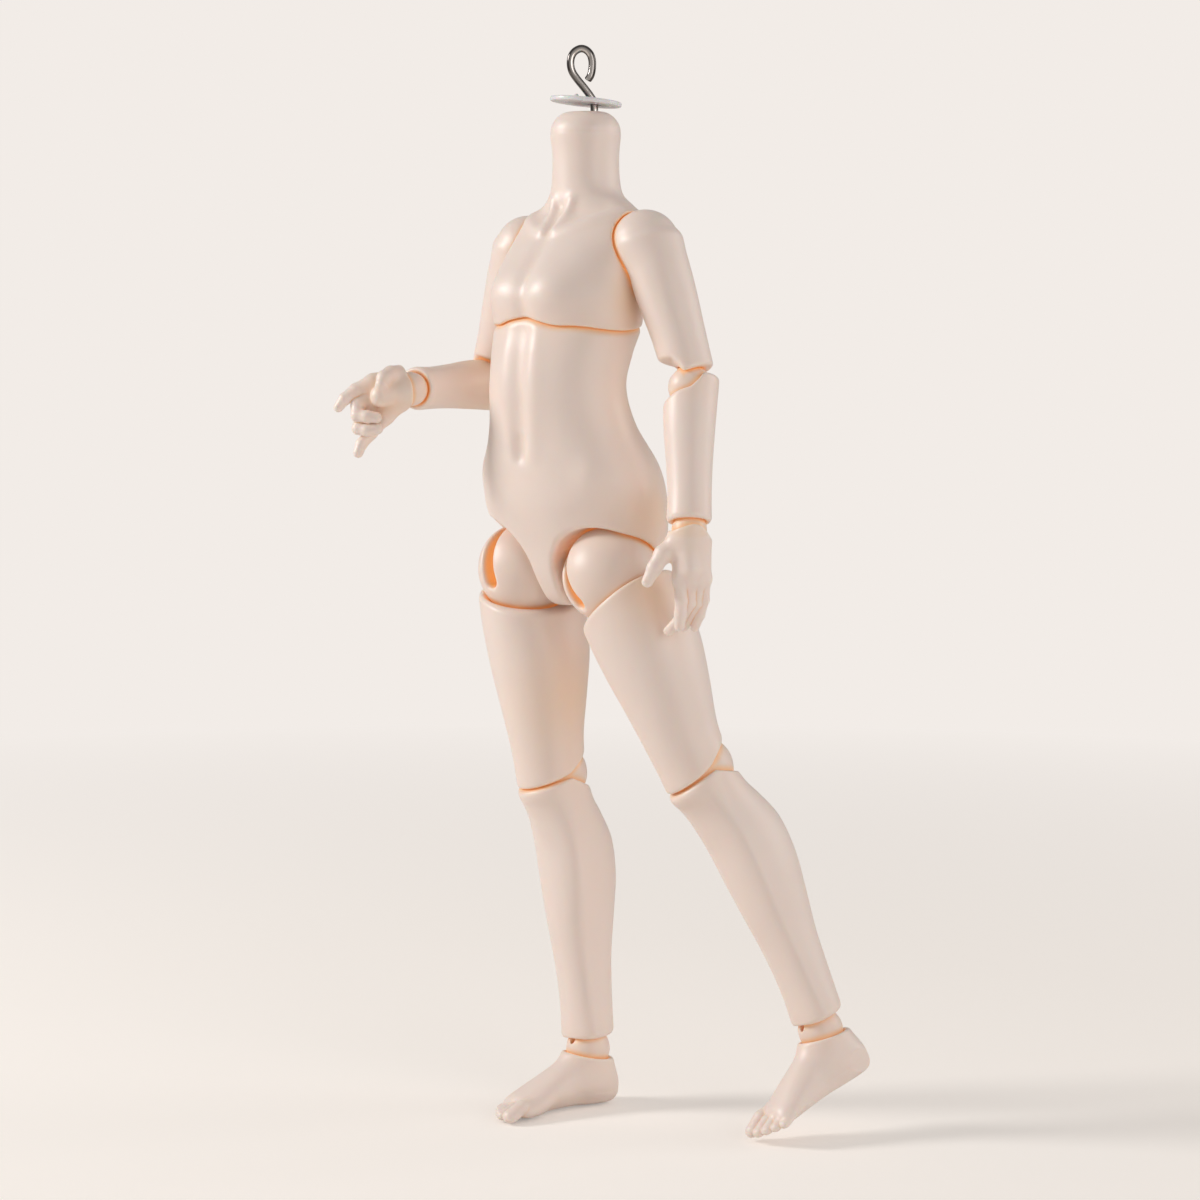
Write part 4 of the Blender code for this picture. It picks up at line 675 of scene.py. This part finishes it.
def hip_planes(side):
    """The faces of the rounded sweep that the hip ball and the thigh's top need, as in the CAD source."""
    room = HIP_R + GAP
    hip = Vector((side * HIP_SPAN, 0, 0))
    build = bmesh.new()
    for offset, share in (
        ((0, 0, 0), 1.0), ((side * 0.22, -2, -0.15), 1.0), ((side * 1.5, -0.9, -1.15), 1.3),
        ((side * 0.35, 0.1, -2.2), 1.32), ((side * 0.35, -2, -2.2), 1.2),
    ):
        bmesh.ops.create_uvsphere(build, u_segments=40, v_segments=20, radius=room * share,
                                  matrix=Matrix.Translation(hip + HIP_R * Vector(offset)))
    points = [vertex.co.copy() for vertex in build.verts]
    build.free()
    hull = bmesh.new()
    bmesh.ops.convex_hull(hull, input=[hull.verts.new(point) for point in points])
    hull.normal_update()
    planes = {}
    for face in hull.faces:
        planes[tuple(round(v, 3) for v in face.normal)] = (*face.normal, face.normal @ face.verts[0].co)
    hull.free()
    return np.array(list(planes.values()))


def lower_torso_field():
    openings = [hip_planes(side) for side in (-1, 1)]

    def distance(p):
        d = torso_shell(p) - relief(p, LOWER_RELIEF)
        dome = np.minimum(sphere(p, (0, 0, WAIST_H), WAIST_R) + seam_wave(p), p[:, 2] - WAIST_H)
        d = smax(d, dome, 1.1)
        lift = 1.5 * np.clip((-12 - p[:, 0]) / 6, 0, 1) * np.clip((3 - p[:, 1]) / 6, 0, 1)
        raised = p - lift[:, None] * np.array([0, 0, 1])
        for planes in openings:
            near = p[:, 2] < 18
            reach = np.full(len(p), 30.0)
            spots = raised[near].astype(np.float32)
            if len(spots):
                reach[near] = np.concatenate([
                    (chunk @ planes[:, :3].T.astype(np.float32) - planes[:, 3].astype(np.float32)).max(1)
                    for chunk in np.array_split(spots, len(spots) // 20000 + 1)])
            d = smax(d, -reach, 1.3)
        return d
    return distance, (-25, -18, -9), (25, 24, 64.5)


def disc_field():
    def distance(p):
        ring = np.hypot(p[:, 0], p[:, 1])
        side, flat = ring - DISC_R + DISC_EDGE, np.abs(p[:, 2] - DISC_T / 2) - DISC_T / 2 + DISC_EDGE
        outside = np.hypot(np.maximum(side, 0), np.maximum(flat, 0))
        d = outside + np.minimum(np.maximum(side, flat), 0) - DISC_EDGE
        top = DISC_T + NUB_H
        d = smin(d, cone(p, (NUB_SIDE, 0, 0.5), (NUB_SIDE, 0, top - NUB_R), NUB_R, NUB_R), 0.5)
        hole = WIRE_R + GAP
        return bore_cut(d, p, (SHANK_SIDE, 0, -4), (SHANK_SIDE, 0, 4), hole * 1.25, 0.25)
    return distance, (-DISC_R, -DISC_R, 0), (DISC_R, DISC_R, DISC_T + NUB_H)


# From distance to mesh

def surface_net(field, low, high, cell):
    """Points and quads of the surface where a field is zero, on a grid of cells between two corners.

    Only cells near the surface are worked out. Three steps along the field's slope then pull the points
    onto it.
    """
    low, high = np.array(low, float) - 3 * cell, np.array(high, float) + 3 * cell
    blocks = np.ceil((high - low) / cell / 4).astype(int)
    count = blocks * 4
    corner = np.indices(blocks).reshape(3, -1).T
    middle = field(low + (corner * 4 + 1.5) * cell)
    near = np.abs(middle) < 4 * cell * 2.1
    values = np.where(middle < 0, -1.0, 1.0).reshape(blocks)
    values = values.repeat(4, 0).repeat(4, 1).repeat(4, 2)
    wanted = near.reshape(blocks).repeat(4, 0).repeat(4, 1).repeat(4, 2)
    nodes = np.argwhere(wanted)
    found = np.empty(len(nodes))
    for part in np.array_split(np.arange(len(nodes)), len(nodes) // 200000 + 1):
        found[part] = field(low + nodes[part] * cell)
    values[tuple(nodes.T)] = found

    inside = values < 0
    corners = [(i, j, k) for i in (0, 1) for j in (0, 1) for k in (0, 1)]
    nx, ny, nz = count
    total = np.zeros((nx - 1, ny - 1, nz - 1), np.int8)
    for i, j, k in corners:
        total += inside[i:nx - 1 + i, j:ny - 1 + j, k:nz - 1 + k]
    cells = np.argwhere((total > 0) & (total < 8))
    place = np.zeros((len(cells), 3))
    hits = np.zeros(len(cells))
    for a in corners:
        for axis in range(3):
            if a[axis]:
                continue
            b = tuple(1 if n == axis else v for n, v in enumerate(a))
            va, vb = values[tuple((cells + a).T)], values[tuple((cells + b).T)]
            crossed = (va < 0) != (vb < 0)
            t = va[crossed] / (va[crossed] - vb[crossed])
            spot = np.array(a, float) + t[:, None] * (np.array(b) - np.array(a))
            place[crossed] += spot
            hits[crossed] += 1
    points = low + (cells + place / hits[:, None]) * cell
    index = np.full((nx - 1, ny - 1, nz - 1), -1, np.int64)
    index[tuple(cells.T)] = np.arange(len(cells))

    quads = []
    for axis in range(3):
        ahead = [slice(None)] * 3
        behind = [slice(None)] * 3
        ahead[axis], behind[axis] = slice(1, None), slice(None, -1)
        edges = np.argwhere(inside[tuple(behind)] != inside[tuple(ahead)])
        u, v = (axis + 1) % 3, (axis + 2) % 3
        edges = edges[(edges[:, u] > 0) & (edges[:, v] > 0)]
        out = inside[tuple(edges.T)]
        ring = []
        for du, dv in ((1, 1), (0, 1), (0, 0), (1, 0)):
            spot = edges.copy()
            spot[:, u] -= du
            spot[:, v] -= dv
            ring.append(index[tuple(spot.T)])
        ring = np.stack(ring, 1)
        ring[~out] = ring[~out][:, ::-1]
        quads.append(ring)
    quads = np.concatenate(quads)

    step = 0.02
    tetra = np.array([(1, -1, -1), (-1, -1, 1), (-1, 1, -1), (1, 1, 1)], float)
    for _ in range(3):
        here = field(points)
        slope = sum(t * field(points + t * step)[:, None] for t in tetra) / (4 * step)
        size = np.maximum((slope ** 2).sum(1), 0.05)
        move = -here[:, None] * slope / size[:, None]
        length = np.linalg.norm(move, axis=1)
        move *= np.minimum(1, 0.5 * cell / np.maximum(length, 1e-9))[:, None]
        points = points + move
    return points, quads


def curvature(points, quads, cell):
    """Positive on ridges and negative in creases, from how far each point lies from its neighbours."""
    pairs = np.concatenate([quads[:, [i, (i + 1) % 4]] for i in range(4)])
    total, hits = np.zeros_like(points), np.zeros(len(points))
    for a, b in ((0, 1), (1, 0)):
        for axis in range(3):
            total[:, axis] += np.bincount(pairs[:, a], points[pairs[:, b], axis], len(points))
        hits += np.bincount(pairs[:, a], minlength=len(points))
    away = points - total / hits[:, None]
    edge1 = points[quads[:, 2]] - points[quads[:, 0]]
    edge2 = points[quads[:, 3]] - points[quads[:, 1]]
    face = np.cross(edge1, edge2)
    normal = np.zeros_like(points)
    for corner in range(4):
        for axis in range(3):
            normal[:, axis] += np.bincount(quads[:, corner], face[:, axis], len(points))
    normal /= np.maximum(np.linalg.norm(normal, axis=1), 1e-12)[:, None]
    return (away * normal).sum(1) / cell ** 2


def mesh_object(name, points, quads, material, values):
    """A smooth object of points in metres, with one attribute for each of the values."""
    mesh = bpy.data.meshes.new(name)
    mesh.vertices.add(len(points))
    mesh.vertices.foreach_set("co", points.astype(np.float32).ravel())
    mesh.loops.add(quads.size)
    mesh.loops.foreach_set("vertex_index", quads.astype(np.int32).ravel())
    mesh.polygons.add(len(quads))
    mesh.polygons.foreach_set("loop_start", np.arange(0, quads.size, 4, dtype=np.int32))
    mesh.update(calc_edges=True)
    mesh.validate()
    for key, value in values.items():
        mesh.attributes.new(key, "FLOAT", "POINT").data.foreach_set("value", value.astype(np.float32))
    mesh.shade_smooth()
    mesh.materials.append(material)
    piece = bpy.data.objects.new(name, mesh)
    bpy.context.scene.collection.objects.link(piece)
    return piece


# Materials

# Painted light and shade: amber shade at contacts, glow where light shines through, edge highlights, glow inside
# gaps
PAINTED_AMBER_SHADE, PAINTED_GLOW, PAINTED_HIGHLIGHT = (0.86, 0.50, 0.20, 1), (0.92, 0.62, 0.38, 1), (1.0, 0.93, 0.87, 1)
DARK, PAINTED_GAP_GLOW = (0, 0, 0, 1), (0.26, 0.105, 0.022, 1)


class Sock:
    """A socket that adds its Math nodes when it meets + - * / or a power, in shader and geometry trees."""

    def __init__(self, tree, socket):
        self.tree, self.socket = tree, socket

    def node(self, kind, inputs=(), out=0, **settings):
        made = self.tree.nodes.new(kind)
        for key, value in settings.items():
            setattr(made, key, value)
        for key, value in dict(inputs).items():
            if isinstance(value, Sock):
                self.tree.links.new(value.socket, made.inputs[key])
            else:
                made.inputs[key].default_value = value
        return Sock(self.tree, made.outputs[out])

    def math(self, operation, other=0.0, clamp=False):
        return self.node("ShaderNodeMath", {0: self, 1: other}, operation=operation, use_clamp=clamp)

    def __add__(self, other):
        return self.math("ADD", other)

    def __sub__(self, other):
        return self.math("SUBTRACT", other)

    def __mul__(self, other):
        return self.math("MULTIPLY", other)

    def __truediv__(self, other):
        return self.math("DIVIDE", other)

    def __pow__(self, other):
        return self.math("POWER", other)

    def __neg__(self):
        return self.math("MULTIPLY", -1.0)

    __radd__, __rmul__ = __add__, __mul__

    def clamped(self):
        return self.math("ADD", 0.0, True)

    def mix(self, low, high):
        """A colour between low and high, by this value. Sockets 6 and 7 of a Mix node are its colours."""
        return self.node("ShaderNodeMix", {0: self, 6: low, 7: high}, out=2, data_type="RGBA")


def new_material(name, **constants):
    """A material with its constants set, its shader, and a start and the Object coordinates for its maths."""
    material = bpy.data.materials.new(name)
    material.use_nodes = True
    shader = material.node_tree.nodes["Principled BSDF"]
    for key, value in constants.items():
        shader.inputs[key.replace("_", " ")].default_value = value
    tree = material.node_tree
    start = Sock(tree, None)
    place = start.node("ShaderNodeTexCoord", out=3)
    return material, shader, start, place


def link(source, shader, key):
    source.tree.links.new(source.socket, shader.inputs[key])


def resin_material(name, light, shade):
    """Cast resin, faintly mottled, with painted light and shade: warm shade where light can't reach, amber at
    contacts, glow, edge highlights.
    """
    material, shader, start, place = new_material(
        name, IOR=1.5, Specular_IOR_Level=0.6, Subsurface_Weight=0.22, Subsurface_Scale=0.0022,
        Coat_Weight=0.25, Coat_Roughness=0.45, Emission_Strength=1.0)
    shader.inputs["Subsurface Radius"].default_value = (1.0, 0.42, 0.22)
    near, glow, bend = (
        start.node("ShaderNodeAttribute", out=2, attribute_name=key) for key in ("near", "glow", "bend"))
    cloud = place.node("ShaderNodeTexNoise", {"Vector": place, "Scale": 90.0, "Detail": 3.0})
    grain = place.node("ShaderNodeTexNoise", {"Vector": place, "Scale": 2600.0, "Detail": 2.0})
    # From the curvature: painted shade in creases and a painted highlight on ridges
    crease_shade, ridge = (-bend).clamped(), bend.clamped()
    tone = ((cloud - 0.35) * 0.5).clamped()
    # Random resin tone, then a painted glow where light passes through the resin
    base = glow.mix(tone.mix(light, shade), PAINTED_GLOW)
    # Painted amber shade at contacts and in creases
    base = (near + 0.6 * crease_shade).clamped().mix(base, PAINTED_AMBER_SHADE)
    # Painted highlight on ridges and edges
    base = (0.35 * ridge).mix(base, PAINTED_HIGHLIGHT)
    link(base, shader, "Base Color")
    # A painted glow emitted inside gaps, standing in for light through the resin
    link((near ** 2.0).mix(DARK, PAINTED_GAP_GLOW), shader, "Emission Color")
    link(0.06 * grain + 0.38 + 0.06 * cloud, shader, "Roughness")
    bump_node = start.node("ShaderNodeBump", {"Strength": 0.04, "Distance": 0.0002, "Height": grain})
    link(bump_node, shader, "Normal")
    return material


def steel_material():
    """Bright steel, with painted reflections: the light and dark bands that a round wire mirrors, from the
    attribute "band".
    """
    material, shader, start, place = new_material("steel", Metallic=1.0, Roughness=0.16)
    wear_and_sheen = place.node("ShaderNodeTexNoise", {"Vector": place, "Scale": 900.0, "Detail": 4.0})
    band = start.node("ShaderNodeAttribute", out=2, attribute_name="band")
    # Painted reflection: the mirrored bright and dark surroundings, mottled by noise
    painted_reflection = (band * (0.3 * wear_and_sheen + 0.8)).clamped()
    link(painted_reflection.mix((0.10, 0.09, 0.085, 1), (0.80, 0.74, 0.70, 1)), shader, "Base Color")
    link(0.16 * wear_and_sheen + 0.08, shader, "Roughness")
    return material


def disc_material():
    material, shader, start, place = new_material(
        "clear_disc", Roughness=0.25, IOR=1.45, Transmission_Weight=0.12, Subsurface_Weight=0.3,
        Subsurface_Scale=0.002)
    haze = place.node("ShaderNodeTexNoise", {"Vector": place, "Scale": 260.0, "Detail": 2.0})
    link(haze.mix((0.88, 0.88, 0.905, 1), (0.95, 0.94, 0.955, 1)), shader, "Base Color")
    link(0.10 * haze + 0.22, shader, "Roughness")
    return material


def cord_material():
    material, shader, start, place = new_material("cord", Roughness=0.8)
    weave = place.node("ShaderNodeTexWave", {"Vector": place, "Scale": 900.0, "Distortion": 1.0}, out=1)
    link(weave.mix((0.78, 0.76, 0.72, 1), (0.92, 0.91, 0.88, 1)), shader, "Base Color")
    return material


RESIN = resin_material("resin", (0.93, 0.785, 0.715, 1), (0.89, 0.725, 0.645, 1))
BALL_RESIN = resin_material("joint_resin", (0.91, 0.75, 0.665, 1), (0.86, 0.67, 0.575, 1))
STEEL, DISC, CORD = steel_material(), disc_material(), cord_material()


# The pieces

def wire_tree():
    """Geometry Nodes that sweep a round section along a line of points, each with its share of the width."""
    tree = bpy.data.node_groups.new("bent_wire", "GeometryNodeTree")
    for name, kind in (("Path", "Geometry"), ("Radius", "Float"), ("Sides", "Int"), ("Flat side", "Vector"),
                       ("Metal", "Material")):
        tree.interface.new_socket(name, in_out="INPUT", socket_type=f"NodeSocket{kind}")
    tree.interface.new_socket("Wire", in_out="OUTPUT", socket_type="NodeSocketGeometry")
    start = Sock(tree, None)
    given = tree.nodes.new("NodeGroupInput")
    path, radius, sides, flat_side, metal = (Sock(tree, socket) for socket in given.outputs[:5])
    path = start.node("GeometryNodeMeshToCurve", {"Mesh": path})
    path = start.node("GeometryNodeSetCurveNormal", {"Curve": path, "Normal": flat_side}, mode="FREE")
    ring = start.node(
        "GeometryNodeCurvePrimitiveCircle", {"Resolution": sides, "Radius": radius}, mode="RADIUS")
    # Three painted reflection bands round the wire, stored as the attribute "band"
    turned = start.node("GeometryNodeInputIndex") * tau / sides
    band = ((3.0 * turned + BAND_START).math("SINE") * 0.8 + 0.42).clamped()
    ring = start.node("GeometryNodeStoreNamedAttribute", {"Geometry": ring, "Name": "band", "Value": band})
    wide = start.node("GeometryNodeInputNamedAttribute", {"Name": "wide"})
    wire = start.node("GeometryNodeCurveToMesh",
                      {"Curve": path, "Profile Curve": ring, "Scale": wide, "Fill Caps": True})
    wire = start.node("GeometryNodeSetShadeSmooth", {"Geometry": wire})
    wire = start.node("GeometryNodeRealizeInstances", {"Geometry": wire})
    wire = start.node("GeometryNodeSetMaterial", {"Geometry": wire, "Material": metal})
    out = tree.nodes.new("NodeGroupOutput")
    tree.links.new(wire.socket, out.inputs[0])
    return tree


def swept_wire(name, path, wide, flat_side):
    """A wire of the path's points in metres, made by the tree and turned into a plain mesh."""
    mesh = bpy.data.meshes.new("path")
    mesh.from_pydata(path, [(i, i + 1) for i in range(len(path) - 1)], [])
    mesh.attributes.new("wide", "FLOAT", "POINT").data.foreach_set("value", wide)
    carrier = bpy.data.objects.new("path", mesh)
    bpy.context.scene.collection.objects.link(carrier)
    modifier = carrier.modifiers.new("bend", "NODES")
    modifier.node_group = wire_tree()
    given = {"Radius": WIRE_R / 1000, "Sides": WIRE_SIDES, "Flat side": flat_side, "Metal": STEEL}
    for socket in modifier.node_group.interface.items_tree:
        if socket.name in given:
            modifier[socket.identifier] = given[socket.name]
    seen = carrier.evaluated_get(bpy.context.evaluated_depsgraph_get())
    wire = bpy.data.objects.new(name, bpy.data.meshes.new_from_object(seen))
    bpy.context.scene.collection.objects.link(wire)
    carrier.modifiers.remove(modifier)
    bpy.data.objects.remove(carrier)
    return wire


def make_hook():
    plane = turn(HOOK_TURN, "Z").to_3x3()
    base = PLACES["pelvis"] @ spine(TORSO_H)
    line = np.array([base + plane @ Vector((x, 0, z)) for x, z in dense(HOOK_LINE, WIRE_STEPS)])
    path, wide = [line], [np.ones(len(line))]
    for end, inner, order in ((line[0], line[1], -1), (line[-1], line[-2], 1)):
        heading = (end - inner) / np.linalg.norm(end - inner)
        tip = np.array([end + heading * step * WIRE_R for step, _ in WIRE_END])[::order]
        width = np.array([width for _, width in WIRE_END])[::order]
        path.insert(0 if order < 0 else len(path), tip)
        wide.insert(0 if order < 0 else len(wide), width)
    path, wide = np.concatenate(path) / 1000, np.concatenate(wide)
    hook = swept_wire("hook", path, wide, plane @ Vector((0, 1, 0)))
    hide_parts("neck_hook")
    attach(hook, "neck_fitting")


# Spots of painted glow, where light passes between pieces and warms the resin: piece, frame, point, reach and
# amount, in millimetres. Gaps narrower than the contact reach get painted amber shade, with a faint fringe.
CONTACT_REACH, FRINGE_REACH = 0.95, 2.5
GLOWS = [
    ("upper_torso", "pelvis", (21, 1, 60), 7, 0.55),
    ("lower_torso", "pelvis", (17, 6, 38), 9, 0.35),
    ("lower_torso", "pelvis", (24, 4, 14), 8, 0.45),
    ("left_thigh", "left_hand", (-9, 1, -10), 9, 0.75),
    ("right_forearm", "right_forearm", (-3, 0, -6), 12, 0.7),
    ("right_thigh", "right_thigh", (9.5, 2, -30), 12, 0.45),
    ("right_hand", "right_hand", (-3, 1.5, -5), 4.5, 0.8),
]


def pieces_table():
    """Each piece with its frame, its field and box, the cell of its mesh, and the pieces that it touches."""
    pieces = {
        "upper_torso": ("pelvis", upper_torso_field(), 0.42, (
            "lower_torso", "left_upper_arm", "right_upper_arm")),
        "lower_torso": ("pelvis", lower_torso_field(), 0.45, (
            "upper_torso", "left_hip_ball", "right_hip_ball", "left_thigh", "right_thigh")),
    }
    for name, side, hip_ball in (("left", 1, LEFT_HIP_BALL), ("right", -1, RIGHT_HIP_BALL)):
        arm = arm_field(side, PLACES[f"{name}_upper_arm"])
        for part, field, cell, others in (
            ("hip_ball", hip_ball_field(*hip_ball), 0.32, ("lower_torso", "thigh")),
            ("thigh", thigh_field(side), 0.38, ("hip_ball", "knee_ball", "calf", "lower_torso")),
            ("knee_ball", joint_ball_field(KNEE_R, 1, 35), 0.28, ("thigh", "calf")),
            ("calf", calf_field(side), 0.36, ("knee_ball", "thigh", "ankle_ball", "foot")),
            ("ankle_ball", end_ball_field(ANKLE_R), 0.22, ("calf", "foot")),
            ("foot", foot_field(side), 0.2, ("ankle_ball", "calf")),
            ("upper_arm", arm, 0.3, ("upper_torso", "elbow_ball", "forearm")),
            ("elbow_ball", joint_ball_field(ELBOW_R + 0.1, -1, 50), 0.2, ("upper_arm", "forearm")),
            ("forearm", forearm_field(side), 0.26, ("elbow_ball", "upper_arm", "wrist_ball", "hand")),
            ("wrist_ball", end_ball_field(WRIST_R), 0.18, ("forearm", "hand")),
        ):
            around = tuple(other if other.endswith("torso") else f"{name}_{other}" for other in others)
            pieces[f"{name}_{part}"] = (f"{name}_{part}", field, cell, around)
    left = hand_field(LEFT_PALM, LEFT_FINGERS, LEFT_THUMB, LEFT_HAND_RIM)
    right = hand_field(RIGHT_PALM, RIGHT_FINGERS, RIGHT_THUMB, RIGHT_HAND_RIM)
    pieces["left_hand"] = ("left_hand", left, 0.16, ("left_wrist_ball", "left_forearm", "left_thigh"))
    pieces["right_hand"] = ("right_hand", right, 0.16, ("right_wrist_ball", "right_forearm"))
    return pieces


def moved(points, place):
    matrix = np.array(place)
    return points @ matrix[:3, :3].T + matrix[:3, 3]


def nearness(gap):
    """How much painted amber shade and gap glow a spot gets: high where the gap is shut, with a faint wide
    fringe.
    """
    contact = 0.9 * np.clip(1 - gap / CONTACT_REACH, 0, 1) ** 1.2
    return contact + 0.10 * np.exp(-np.maximum(gap, 0) / FRINGE_REACH)


def make_pieces():
    pieces = pieces_table()
    coarse = 1.0
    box_low, box_high = (Vector(corner) * 1000 for corner in CAD_BOX)
    for name, (home, (field, low, high), cell, others) in pieces.items():
        points, quads = surface_net(field, low, high, cell * coarse)
        world = np.clip(moved(points, PLACES[home]), box_low, box_high)
        gap = np.full(len(world), 99.0)
        for other in others:
            other_home, (other_field, _, _), _, _ = pieces[other]
            gap = np.minimum(gap, other_field(moved(world, PLACES[other_home].inverted())))
        # The gap to the pieces around sets the painted amber shade and gap glow; the glow spots add painted glow
        near, glow = nearness(gap), np.zeros(len(world))
        for piece, frame_name, spot, reach, amount in GLOWS:
            if piece == name:
                centre = np.array(PLACES[frame_name] @ Vector(spot))
                glow += amount * np.exp(-(np.linalg.norm(world - centre, axis=1) / reach) ** 2)
        is_ball = name.endswith("_ball")
        if is_ball:
            # Deeper inside a ball's slots and bore: more painted glow and painted amber shade
            depth = max(high) - np.linalg.norm(points, axis=1)
            glow += np.clip((depth - 0.4) / 2.0, 0, 0.8)
            near = np.maximum(near, np.clip((depth - 0.5) / 1.6, 0, 0.75))
        # The curvature sets painted shade in creases and painted highlights on ridges
        bend = np.clip(curvature(points, quads, cell * coarse) * 1.2, -1, 1)
        material = BALL_RESIN if is_ball else RESIN
        values = {"near": near, "bend": bend, "glow": glow}
        skin = mesh_object(f"{name}_skin", world / 1000, quads, material, values)
        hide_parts(name)
        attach(skin, name)


def make_disc():
    field, low, high = disc_field()
    points, quads = surface_net(field, low, high, 0.14)
    place = PLACES["pelvis"] @ at(spine(TORSO_H + DISC_LIFT), turn(HOOK_TURN, "Z") @ turn(DISC_TILT, "Y"))
    disc = mesh_object("disc", moved(points, place) / 1000, quads, DISC, {})
    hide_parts("neck_disc")
    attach(disc, "neck_fitting")


def make_hand_pins():
    """The cross pins that hold the cord, a little shorter than in the CAD so that the palm covers them."""
    ends = [np.array((0, y, PIN_Z)) for y in PIN_Y]
    points, quads = surface_net(lambda p: cone(p, *ends, PIN_R, PIN_R), ends[0] - 1, ends[1] + 1, 0.1)
    for name in ("left", "right"):
        world = moved(points, PLACES[f"{name}_hand"]) / 1000
        # The pins take a flat middle tone of the steel's painted reflection
        pin = mesh_object(f"{name}_cross_pin", world, quads, STEEL, {"band": np.full(len(points), 0.5)})
        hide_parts(f"{name}_hand_pin")
        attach(pin, f"{name}_hand")


make_pieces()
make_disc()
make_hook()
make_hand_pins()
for node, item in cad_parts.items():
    for ending, finish in (("elastic", CORD), ("foot_pin", STEEL)):
        if node.endswith(ending):
            item.data.materials.clear()
            item.data.materials.append(finish)


# Floor, lights and camera

BACKDROP = (0.888, 0.839, 0.800, 1)
# In metres from the doll, and the least share of the floor's look that is the plain backdrop
FADE_START, FADE_LENGTH, PLAIN_LEAST = 0.2, 0.5, 0.12
FLOOR_HALF, FLOOR_DROP = 6.0, 0.0002
# Name, place, aim, size, power and colour of each lamp
LAMPS = [
    ("key", (-0.62, -0.62, 0.55), (0, 0, 0.12), 0.30, 5.4, (1.0, 0.985, 0.965)),
    ("rim", (0.55, 0.70, 0.45), (0, 0, 0.12), 0.5, 1.4, (1.0, 0.98, 0.96)),
    ("side", (0.90, -0.10, 0.30), (0, 0, 0.08), 0.7, 1.7, (1.0, 0.98, 0.96)),
]
SOFT_COLOUR, SOFT_STRENGTH = (1.0, 0.97, 0.94, 1), 0.36
# The camera of the photograph: 85 mm lens on a 36 mm wide frame, looking down by 235 in 2833.33
CAMERA_PLACE, LENS, FILM = (0.45679, -0.44202, 0.1696), 85, 36
PITCH = atan(235 / 2833.33)


def floor_material():
    """A matt floor that keeps the shadows near the doll and fades into the backdrop with distance."""
    material = bpy.data.materials.new("floor")
    material.use_nodes = True
    tree = material.node_tree
    tree.nodes.clear()
    start = Sock(tree, None)
    place = start.node("ShaderNodeTexCoord", out=3)
    grain = start.node("ShaderNodeTexNoise", {"Vector": place, "Scale": 500.0, "Detail": 3.0})
    tint = grain.mix((0.90, 0.855, 0.81, 1), (0.92, 0.875, 0.83, 1))
    matt = start.node("ShaderNodeBsdfDiffuse", {"Color": tint})
    away = start.node("ShaderNodeVectorMath", {0: place}, out=1, operation="LENGTH")
    fade = ((away - FADE_START) / FADE_LENGTH).clamped()
    part = (1 - PLAIN_LEAST) * fade + PLAIN_LEAST
    plain = start.node("ShaderNodeEmission", {"Color": BACKDROP, "Strength": (0.79 * part + 0.21) / part})
    seen = start.node("ShaderNodeLightPath")
    mixed = start.node("ShaderNodeMixShader", {0: seen * part, 1: matt, 2: plain})
    out = tree.nodes.new("ShaderNodeOutputMaterial")
    tree.links.new(mixed.socket, out.inputs[0])
    return material


def make_stage():
    mesh = bpy.data.meshes.new("floor")
    corners = [(x * FLOOR_HALF, y * FLOOR_HALF, 0) for x, y in ((-1, -1), (1, -1), (1, 1), (-1, 1))]
    mesh.from_pydata(corners, [], [(0, 1, 2, 3)])
    floor = bpy.data.objects.new("floor", mesh)
    bpy.context.scene.collection.objects.link(floor)
    mesh.materials.append(floor_material())
    floor.location.z = -FLOOR_DROP


def area_light(name, place, target, size, power, colour):
    light = bpy.data.lights.new(name, "AREA")
    light.shape, light.size, light.energy, light.color = "DISK", size, power, colour
    item = bpy.data.objects.new(name, light)
    item.location = place
    item.rotation_euler = (Vector(target) - Vector(place)).to_track_quat("-Z", "Y").to_euler()
    bpy.context.scene.collection.objects.link(item)


def make_world():
    world = bpy.data.worlds.new("world")
    bpy.context.scene.world = world
    world.use_nodes = True
    tree = world.node_tree
    tree.nodes.clear()
    start = Sock(tree, None)
    seen = start.node("ShaderNodeLightPath")
    soft = start.node("ShaderNodeBackground", {"Color": SOFT_COLOUR, "Strength": SOFT_STRENGTH})
    shown = start.node("ShaderNodeBackground", {"Color": BACKDROP, "Strength": 1.0})
    mixed = start.node("ShaderNodeMixShader", {0: seen, 1: soft, 2: shown})
    out = tree.nodes.new("ShaderNodeOutputWorld")
    tree.links.new(mixed.socket, out.inputs[0])


def make_camera():
    data = bpy.data.cameras.new("camera")
    data.lens, data.sensor_width = LENS, FILM
    data.clip_start, data.clip_end = 0.01, 50
    item = bpy.data.objects.new("camera", data)
    item.location = CAMERA_PLACE
    heading = Vector((-cos(PITCH) / sqrt(2), cos(PITCH) / sqrt(2), -sin(PITCH)))
    item.rotation_euler = heading.to_track_quat("-Z", "Y").to_euler()
    bpy.context.scene.collection.objects.link(item)
    bpy.context.scene.camera = item


make_stage()
make_world()
for lamp in LAMPS:
    area_light(*lamp)
make_camera()
bpy.context.scene.view_settings.view_transform = "Standard"
